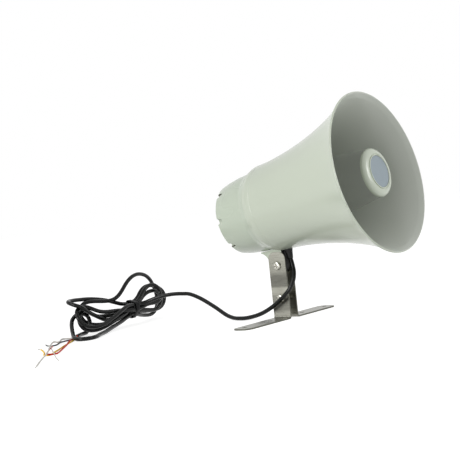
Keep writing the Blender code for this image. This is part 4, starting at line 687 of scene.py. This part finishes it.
# %% Lines of the four cores
CORE_POINTS = {
    "core_red": (
        (-0.2310, -0.1563, 0.0035), (-0.2283, -0.1610, 0.0035), (-0.2257, -0.1654, 0.0032),
        (-0.2234, -0.1706, 0.0029), (-0.2216, -0.1755, 0.0019), (-0.2187, -0.1810, 0.0021),
        (-0.2130, -0.1883, 0.0026), (-0.2040, -0.1998, 0.0024), (-0.1925, -0.2140, 0.0016),
        (-0.1805, -0.2305, 0.0010), (-0.1682, -0.2464, 0.0009), (-0.1575, -0.2605, 0.0011),
        (-0.1495, -0.2705, 0.0017), (-0.1438, -0.2777, 0.0023), (-0.1451, -0.2848, 0.0026),
        (-0.1525, -0.2849, 0.0027), (-0.1630, -0.2750, 0.0028), (-0.1740, -0.2630, 0.0028),
        (-0.1840, -0.2510, 0.0028), (-0.1921, -0.2408, 0.0028), (-0.1977, -0.2340, 0.0031),
        (-0.1994, -0.2331, 0.0036), (-0.2011, -0.2337, 0.0042), (-0.2020, -0.2353, 0.0046),
        (-0.2015, -0.2371, 0.0050), (-0.1945, -0.2426, 0.0055), (-0.1788, -0.2532, 0.0052),
        (-0.1617, -0.2680, 0.0046), (-0.1402, -0.2851, 0.0036),
        (-0.1210, -0.3012, 0.0024), (-0.1016, -0.3148, 0.0010),
    ),
    "core_yellow": (
        (-0.2310, -0.1563, 0.0018), (-0.2283, -0.1610, 0.0018), (-0.2252, -0.1662, 0.0016),
        (-0.2224, -0.1708, 0.0012), (-0.2186, -0.1758, 0.0009), (-0.2126, -0.1857, 0.0009),
        (-0.2033, -0.2012, 0.0009), (-0.1935, -0.2170, 0.0009), (-0.1835, -0.2320, 0.0009),
        (-0.1730, -0.2480, 0.0009), (-0.1625, -0.2645, 0.0009), (-0.1540, -0.2765, 0.0009),
        (-0.1535, -0.2835, 0.0009), (-0.1600, -0.2830, 0.0009), (-0.1700, -0.2733, 0.0009),
        (-0.1872, -0.2591, 0.0009), (-0.2048, -0.2469, 0.0009), (-0.2130, -0.2440, 0.0012),
    ),
    "core_black": (
        (-0.2325, -0.1571, 0.0018), (-0.2297, -0.1619, 0.0018), (-0.2269, -0.1672, 0.0016),
        (-0.2274, -0.1715, 0.0011), (-0.2280, -0.1765, 0.0009), (-0.2285, -0.1830, 0.0009),
        (-0.2270, -0.1910, 0.0009), (-0.2210, -0.2010, 0.0009), (-0.2145, -0.2105, 0.0009),
        (-0.2140, -0.2175, 0.0009), (-0.2210, -0.2185, 0.0009), (-0.2360, -0.2105, 0.0009),
    ),
    "core_white": (
        (-0.2325, -0.1571, 0.0035), (-0.2297, -0.1619, 0.0035), (-0.2276, -0.1664, 0.0032),
        (-0.2298, -0.1688, 0.0026), (-0.2350, -0.1720, 0.0025), (-0.2386, -0.1760, 0.0027),
        (-0.2370, -0.1810, 0.0029), (-0.2305, -0.1870, 0.0030), (-0.2220, -0.1990, 0.0030),
        (-0.2135, -0.2100, 0.0042), (-0.2050, -0.2200, 0.0062), (-0.1960, -0.2320, 0.0084),
        (-0.1840, -0.2470, 0.0089), (-0.1700, -0.2635, 0.0078), (-0.1520, -0.2850, 0.0044),
        (-0.1280, -0.3180, 0.0015), (-0.0930, -0.3590, 0.0010),
    ),
}

# %% Draw the cores, thin and tinned at their ends
CORE_DIAMETER = 0.0020
CORE_STEP = 0.0008
INSULATED = {"core_red": 0.63, "core_yellow": 0.955, "core_black": 0.93, "core_white": 0.94}
for name, points in CORE_POINTS.items():
    line = smooth_line(points, CORE_STEP) + np.array(to_frame)
    line[:, 2] = np.maximum(line[:, 2], CORE_DIAMETER / 2)
    cut = int(len(line) * INSULATED[name])
    core = tube(
        name + "_wire",
        line,
        CORE_DIAMETER / 2,
        core_finishes[name],
        "bracket",
        (name,),
        thin_from=cut,
    )
    core.data.materials.append(tinned)
    finder = KDTree(len(line))
    for i, place in enumerate(line):
        finder.insert(place, i)
    finder.balance()
    for face in core.data.polygons:
        if finder.find(face.center)[1] > cut:
            face.material_index = 1
    print(name, "length", round(len(line) * CORE_STEP, 3), "m")

# %% [markdown]
# ## The tie
#
# One turn of plastic-covered wire pulls the middle of the hank together. A taut band follows the
# outermost strands only, so it is the convex hull of the strands' round sections where they cross the
# band's plane, pushed to its width and made solid.

# %% Wrap the band round the middle of the hank
TIE_Y = -0.033
TIE_WIDTH = 0.007
crossing = [p for p in cord_line if abs(p[1] - TIE_Y) < 0.0045 and p[2] < 0.040 and p[0] < -0.2]
rims = []
for p in crossing:
    for a in range(0, 360, 15):
        reach = CORD_DIAMETER / 2 + 0.0003
        rims.append((p[0] + reach * math.cos(math.radians(a)), p[2] + reach * math.sin(math.radians(a))))
hull = [rims[i] for i in convex_hull_2d(rims)]
band_shape = bmesh.new()
ring = [band_shape.verts.new((x, TIE_Y - TIE_WIDTH / 2, z)) for x, z in hull]
hoop = [band_shape.edges.new((a, b)) for a, b in zip(ring, ring[1:] + ring[:1])]
grown = bmesh.ops.extrude_edge_only(band_shape, edges=hoop)
pushed = [v for v in grown["geom"] if isinstance(v, bmesh.types.BMVert)]
bmesh.ops.translate(band_shape, verts=pushed, vec=(0, TIE_WIDTH, 0))
band = settle("tie", band_shape, tie_plastic, "bracket", ("hank_tie",), 50, Matrix())
thick = band.modifiers.new("Thickness", "SOLIDIFY")
thick.thickness = 0.0011
thick.offset = 1.0
soft = band.modifiers.new("Edges", "BEVEL")
soft.width = 0.0004
soft.segments = 2
soft.limit_method = "ANGLE"
soft.angle_limit = math.radians(50)
print("tie round", len(crossing), "points, faces:", len(band.data.polygons))

# %% [markdown]
# ## The bell
#
# One smooth curve carries the outside from the collar to the lip. A cubic with two handles gives it,
# and the inside is the same curve moved in by the wall. A fine groove runs round it near the collar. The
# inside faces get a finish of their own, a little duller.

# %% The bell's outside line
BELL_WALL = 0.0023
FLARE = ((0.062, 0.0581), (0.124, 0.05934), (0.1968, 0.0810), (0.2248, 0.1006))


def flare_point(u):
    weights = ((1 - u) ** 3, 3 * (1 - u) ** 2 * u, 3 * (1 - u) * u**2, u**3)
    return tuple(sum(w * p[i] for w, p in zip(weights, FLARE)) for i in range(2))


def between(points, at):
    """The radius of a line of (height, radius) points at one height."""
    return float(np.interp(at, [p[0] for p in points], [p[1] for p in points]))


flare = [flare_point(i / 60) for i in range(61)]
shoulder = []
for i in range(16):
    u = i / 16
    shoulder.append((0.049 + 0.013 * u, 0.0540 + 0.0041 * math.sin(u * math.pi / 2) ** 1.3))
collar = [(0.0460, 0.0530), (0.0463, 0.0532), (0.0484, 0.0532)]
collar += [(0.0486, 0.0529), (0.0489, 0.0529), (0.0490, 0.0540)]
groove = [(0.0655, 0.0), (0.0657, -0.00015), (0.0663, -0.00015), (0.0665, 0.0)]
groove_line = [(t, between(flare, t) + dip) for t, dip in groove]
before_groove = [p for p in flare if p[0] < 0.0653]
after_groove = [p for p in flare if p[0] > 0.0667]
outside = collar + shoulder[1:] + before_groove + groove_line + after_groove


def moved_in(points, wall):
    """A line moved towards the axis by the wall's thickness."""
    moved = []
    for i, (t, r) in enumerate(points):
        a = points[max(0, i - 1)]
        b = points[min(len(points) - 1, i + 1)]
        run = b[0] - a[0]
        rise = b[1] - a[1]
        length = math.hypot(run, rise)
        moved.append((t + wall * rise / length, r - wall * run / length))
    return moved


inside = moved_in(flare, BELL_WALL)
print("bell outside:", len(outside), "points, mouth radius", round(outside[-1][1], 4))

# %% Swing the bell
throat = [p for p in inside if 0.0875 < p[0] < 0.2245]
lip = [(0.1000, 0.2268), (0.1006, 0.2276), (0.1012, 0.2280), (0.1019, 0.2278)]
lip += [(0.1024, 0.2272), (0.1025, 0.2264), (0.1022, 0.2256), (0.1016, 0.2250)]
profile = [(r, t) for t, r in throat]
profile += lip
profile += [(r, t) for t, r in reversed(outside)]
profile += [(0.0505, 0.0460), (0.0505, 0.0500), (0.0540, 0.0560), (0.0556, 0.0640), (0.0561, 0.0760)]
profile += [(0.0111, 0.0760), (0.0111, 0.0785), (0.0520, 0.0785), (0.0545, 0.0795), (0.0558, 0.0815)]
bell_shape = swing(profile, 144)
bell = settle("bell", bell_shape, shell, "horn", ("horn_bell",), 38)
bell.data.materials.append(inner_shell)
to_horn = horn_space.inverted()
for face in bell.data.polygons:
    spot = to_horn @ face.center
    if (to_horn.to_3x3() @ face.normal).to_2d().dot(spot.to_2d()) < 0 and spot.z > 0.079:
        face.material_index = 1
print("bell faces:", len(bell.data.polygons))

# %% [markdown]
# ## The lug under the bell
#
# The bracket clamps a thick web moulded under the bell. Its rear edge sweeps out under the cover, and
# its lower end is round about the pivot. An outline is filled, pushed to its thickness and softened
# along its edges with a bevel.


# %% Outline of the lug
def round_points(centre, radius, start, end, count):
    """Points along an arc, from one angle to another in degrees."""
    angles = [math.radians(start + (end - start) * i / (count - 1)) for i in range(count)]
    return [(centre[0] + radius * math.cos(a), centre[1] + radius * math.sin(a)) for a in angles]


lug_outline = [(0.0560, 0.0598), (0.0755, 0.0598 - 0.0003)]
lug_outline += round_points((0.0755, 0.049), 0.0105, 86, -70, 26)[1:]
lug_outline += [(0.0733, 0.0382), (0.0676, 0.0370), (0.0638, 0.0358), (0.0598, 0.0339), (0.0567, 0.0314)]
lug_outline += [(0.0549, 0.0288), (0.0542, 0.0271), (0.0525, 0.0271), (0.0530, 0.0440), (0.0535, 0.0480)]


def slab(outline, thickness, edge_round):
    """An outline in x and z, given a thickness along y, with its long edges rounded."""
    shape = bmesh.new()
    verts = [shape.verts.new((x, -thickness / 2, z)) for x, z in outline]
    face = shape.faces.new(verts)
    grown = bmesh.ops.extrude_face_region(shape, geom=[face])
    moved = [v for v in grown["geom"] if isinstance(v, bmesh.types.BMVert)]
    bmesh.ops.translate(shape, verts=moved, vec=(0, thickness, 0))
    bmesh.ops.recalc_face_normals(shape, faces=shape.faces)
    rims = [e for e in shape.edges if abs(e.verts[0].co.y - e.verts[1].co.y) < 1e-6]
    bmesh.ops.bevel(
        shape, geom=rims, offset=edge_round, segments=3, affect="EDGES", profile=0.5, material=-1
    )
    return shape


# %% Push the lug to its thickness and paint shade on its front
LUG_THICKNESS = 0.0137
lug = settle("lug", slab(lug_outline, LUG_THICKNESS, 0.0007), shell, "horn")
lug.data.materials.append(soft_rubber)
# The lug is the bell's pale plastic; its front between the straps takes the black rubber finish as painted
# shade.
forward = (horn_space.to_3x3() @ Vector((0, 0, 1))).normalized()
for face in lug.data.polygons:
    if face.normal.dot(forward) > 0.35:
        face.material_index = 1
print("lug faces:", len(lug.data.polygons))

# %% [markdown]
# ## The cup over the driver
#
# The rear cover is a shallow pot with eight round channels down its edge, four of which hide a screw.
# The channels are cut with a Boolean whose result is kept and whose cutters are thrown away. Their walls
# get a dark colour, which is painted shade. The pot's skirt laps over the bell's collar, so the gasket is
# hidden.


# %% Helper for cuts
def cut_away(piece, cutters):
    """Subtracts the cutters from a piece and keeps only the result."""
    for cutter in cutters:
        cut = piece.modifiers.new("cut", "BOOLEAN")
        cut.operation = "DIFFERENCE"
        cut.solver = "EXACT"
        cut.object = cutter
    graph = bpy.context.evaluated_depsgraph_get()
    result = bpy.data.meshes.new_from_object(piece.evaluated_get(graph))
    piece.modifiers.clear()
    piece.data = result
    for cutter in cutters:
        bpy.data.objects.remove(cutter)
    return piece


def round_cutter(radius, low, high, x, y):
    """A round bar along the horn's axis, to be cut away."""
    shape = bmesh.new()
    bmesh.ops.create_cone(
        shape,
        cap_ends=True,
        segments=36,
        radius1=radius,
        radius2=radius,
        depth=high - low,
        matrix=horn_space @ Matrix.Translation((x, y, (low + high) / 2)),
    )
    mesh = bpy.data.meshes.new("cutter")
    shape.to_mesh(mesh)
    shape.free()
    cutter = bpy.data.objects.new("cutter", mesh)
    bpy.context.scene.collection.objects.link(cutter)
    return cutter


# %% Swing the pot
ROUND_EDGE = 0.003
corner = []
for a in np.linspace(0, math.pi / 2, 10):
    corner.append((ROUND_EDGE * (1 - math.cos(a)), 0.0444 + ROUND_EDGE * math.sin(a)))
side = []
for share in np.linspace(0.1, 1.0, 14):
    side.append((0.003 + 0.0414 * share, 0.0474 + 0.005 * math.sin(share * math.pi / 2) ** 0.8))
skirt = [(0.0462, 0.0531), (0.0480, 0.0538), (0.0500, 0.0546), (0.0515, 0.0552), (0.0526, 0.05565)]
skirt += [(0.0530, 0.05570), (0.0532, 0.05550), (0.0532, 0.0540)]
cover_line = corner + side + skirt
cover_profile = [(0.0, 0.0)] + [(r, t) for t, r in cover_line]
cover_profile += [(0.0520, 0.0447), (0.0340, 0.0447), (0.0340, 0.0444)]
cover_profile += [(0.0340, 0.0030), (0.0, 0.0030)]
cover_shape = swing(cover_profile, 144, closed=False)
cover = settle("driver_cup", cover_shape, cover_shell, "horn", ("rear_cover",), 38)

# %% Cut the channels and paint shade on their walls
CHANNEL_RADIUS = 0.0041
CHANNEL_CIRCLE = 0.0452
channels = []
for i in range(8):
    angle = math.radians(45 * i)
    x = CHANNEL_CIRCLE * math.cos(angle)
    y = CHANNEL_CIRCLE * math.sin(angle)
    channels.append(round_cutter(CHANNEL_RADIUS, -0.01, 0.014, x, y))
cut_away(cover, channels)
cover.data.set_sharp_from_angle(angle=math.radians(38))
# The inward walls of the channels take the dark plastic as painted shade.
cover.data.materials.append(channel_painted_shade)
for face in cover.data.polygons:
    spot = to_horn @ face.center
    across = (to_horn.to_3x3() @ face.normal).to_2d()
    inward = across.length > 0.5 and across.dot(spot.to_2d()) < 0.006
    if inward and 0.0002 < spot.z < 0.0142 and spot.to_2d().length > 0.0405:
        face.material_index = 1
print("cover faces:", len(cover.data.polygons))

# %% [markdown]
# ## The bullet
#
# In a re-entrant horn the sound goes forward in a tube, back inside a bullet and forward again in the
# bell. So the bullet is a hollow cup that opens to the rear, with a raised middle that turns the sound
# round. From outside one sees its side, in the shade of the bell. That shade is also painted into its
# plastic, which is much darker than the bell's.

# %% The bullet
CUP_WALL = 0.0018
cup_side = []
for u in np.linspace(0, 1, 24):
    t = 0.096 + (0.2174 - 0.096) * u
    cup_side.append((t, 0.043 + (0.0304 - 0.043) * (0.55 * u + 0.45 * u**2)))
cup_in = moved_in(cup_side, CUP_WALL)
cup_profile = [(0.0018, 0.2192), (0.0297, 0.2192)] + [(r, t) for t, r in reversed(cup_side)]
cup_profile += [(r, t) for t, r in cup_in if t < 0.2035]
cup_profile += [(0.0262, 0.2108), (0.0230, 0.2148), (0.0163, 0.2156), (0.0100, 0.2130), (0.0052, 0.2082)]
cup_profile += [(0.0036, 0.2036), (0.0018, 0.2036)]
cup_shape = swing(cup_profile, 120)
bullet = settle("bullet", cup_shape, bullet_painted_shade, "horn", ("reflector_cup",), 38)
print("bullet faces:", len(bullet.data.polygons))

# %% [markdown]
# ## Hub and disc
#
# The hub is a thick rounded button on the bullet's nose, with a raised rim round a flat seat. A thin disc
# of satin metal lies in the seat and hides the screw that holds the hub.

# %% The hub
hub_profile = [(0.0203, 0.2277), (0.0206, 0.2280), (0.0214, 0.2280), (0.0217, 0.2277), (0.0218, 0.2268)]
hub_profile += [(0.0224, 0.2268), (0.0226, 0.2275)]
for i in range(1, 19):
    a = math.radians(5 * i)
    hub_profile.append((0.0223 + 0.0087 * math.sin(a), 0.2195 + 0.0079 * (0.2 + 0.8 * math.cos(a))))
hub_profile += [(0.0306, 0.2195), (0.0018, 0.2195), (0.0018, 0.2239), (0.0029, 0.2239), (0.0029, 0.2265)]
hub_profile += [(0.0203, 0.2265)]
hub = settle("hub", swing(hub_profile, 120), shell, "horn", ("hub_cap",), 30)
print("hub faces:", len(hub.data.polygons))

# %% The bare disc
disc_profile = [(0.0, 0.22685), (0.0199, 0.22685), (0.0200, 0.22695)]
disc_profile += [(0.0200, 0.2273), (0.0199, 0.2274), (0.0, 0.2274)]
disc_shape = swing(disc_profile, 96, closed=False)
disc = settle("hub_plate", disc_shape, disc_finish, "horn", ("hub_disc",), 30)
print("disc faces:", len(disc.data.polygons))

# %% [markdown]
# ## Bracket
#
# The straps are bent from two-millimetre stainless steel. Their solids have the right shape, so each is
# copied and welded, and its edges get a fine rounding, because a real edge always catches a line of light.
# The narrow faces and the ends of the feet get a darker steel.


# %% Helper that rounds the edges of a solid
def carry_over(name, material, body, bevel=0.0, smooth_angle=30, segments=2, reshape=None):
    """A welded copy of a solid, with its thin edges rounded, in place of the solid."""
    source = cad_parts[name]
    shape = bmesh.new()
    shape.from_mesh(source.data)
    shape.transform(source.matrix_world)
    bmesh.ops.remove_doubles(shape, verts=shape.verts, dist=0.000005)
    bmesh.ops.dissolve_limit(shape, angle_limit=math.radians(0.8), verts=shape.verts, edges=shape.edges)
    if reshape:
        reshape(shape)
    mesh = bpy.data.meshes.new(name + "_fine")
    shape.to_mesh(mesh)
    shape.free()
    mesh.materials.clear()
    mesh.materials.append(material)
    mesh.shade_smooth()
    mesh.set_sharp_from_angle(angle=math.radians(smooth_angle))
    piece = bpy.data.objects.new(name + "_fine", mesh)
    bpy.context.scene.collection.objects.link(piece)
    if bevel:
        rounding = piece.modifiers.new("Edges", "BEVEL")
        rounding.width = bevel
        rounding.segments = segments
        rounding.limit_method = "ANGLE"
        rounding.angle_limit = math.radians(40)
        rounding.harden_normals = True
    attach(piece, body)
    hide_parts(name)
    return piece

# %% Straps
for strap in ("strap_near", "strap_far"):
    piece = carry_over(strap, strap_steel, "bracket", 0.00025)
    piece.data.materials.append(darker_edge_steel)
    for face in piece.data.polygons:
        toe = face.center.z < 0.0021 and abs(face.normal.y) > 0.6 and abs(face.center.y) > 0.025
        if abs(face.normal.x) > 0.4 or toe:
            face.material_index = 1
    print(strap, "faces:", len(piece.data.polygons))

# %% [markdown]
# ## Screws, nuts and washers
#
# Two screws hold the straps together: the upper one is the pivot, the lower one keeps the straps apart with
# a sleeve. Their pan heads look wider in the photo than in the solids, so the points of each head move
# away from the screw's axis.


# %% Screws, nuts, washers and sleeve
def wider_head(shape):
    """The screw's head is wider than its solid: its points move away from the screw's axis."""
    front = min(v.co.y for v in shape.verts)
    middle = Vector((PIVOT.x, 0, sum(v.co.z for v in shape.verts) / len(shape.verts)))
    head = [v for v in shape.verts if v.co.y < front + 0.0031]
    bmesh.ops.scale(shape, vec=(1.2, 1, 1.2), space=Matrix.Translation(-middle), verts=head)


for name in ("pivot_screw", "lower_screw"):
    carry_over(name, screw_steel, "bracket", 0.00012, 45, 2, wider_head)
for name in ("pivot_nut", "lower_nut", "pivot_washer", "lower_washer", "spacer_sleeve"):
    carry_over(name, screw_steel, "bracket", 0.0002)

# %% [markdown]
# ## Pieces inside
#
# The driver, its magnet and the transformer are hidden behind the cover. Their solids are round and true
# to size, so they stay as they are, and each gets the finish of its material.

# %% Finishes of the inner pieces
plain = {
    "back_plate": plated,
    "top_plate": plated,
    "transformer_core": plated,
    "magnet_ring": ferrite,
    "clamp_ring": black_plastic,
    "driver_cover": black_plastic,
    "phase_plug": black_plastic,
    "diaphragm": amber_film,
    "voice_coil": copper,
    "transformer_winding": tape,
    "transformer_clamp": screw_steel,
    "cover_gasket": soft_rubber,
    "throat_gasket": soft_rubber,
    "inner_lead": cord_jacket,
    "throat_tube": shell,
}
for name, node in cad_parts.items():
    if name in plain:
        for slot in node.material_slots:
            slot.material = plain[name]
    elif "screw" in name:
        for slot in node.material_slots:
            slot.material = screw_steel
print("inner pieces:", len(plain))

# %% [markdown]
# ## The gland
#
# Where the cord leaves the bell, a rubber gland grips it and keeps it from kinking. It is turned like the
# other round pieces, wide at the wall and tapered to the cord.

# %% Turn the gland
GLAND_TIP = 0.0709
gland_profile = [(0.0, 0.0550), (0.0056, 0.0550), (0.0058, 0.0555), (0.0058, 0.0592), (0.0055, 0.0598)]
gland_profile += [(0.0049, 0.0622), (0.0043, 0.0655), (0.0037, 0.0690)]
gland_profile += [(0.0034, 0.0705), (0.0029, GLAND_TIP), (0.0, GLAND_TIP)]
gland_space = horn_space @ Matrix.Translation((0, 0, 0.0665)) @ Matrix.Rotation(math.pi / 2, 4, "Y")
gland_shape = swing(gland_profile, 48, closed=False)
gland = settle("gland", gland_shape, soft_rubber, "horn", ("cord_gland",), 40, gland_space)
tip = gland_space @ Vector((0, 0, GLAND_TIP))
print("gland tip:", [round(v, 4) for v in tip], "cord from:", cord_line[0].round(4))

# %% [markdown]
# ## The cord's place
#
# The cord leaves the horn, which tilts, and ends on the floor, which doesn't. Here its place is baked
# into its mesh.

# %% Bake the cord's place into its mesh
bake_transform(cord)
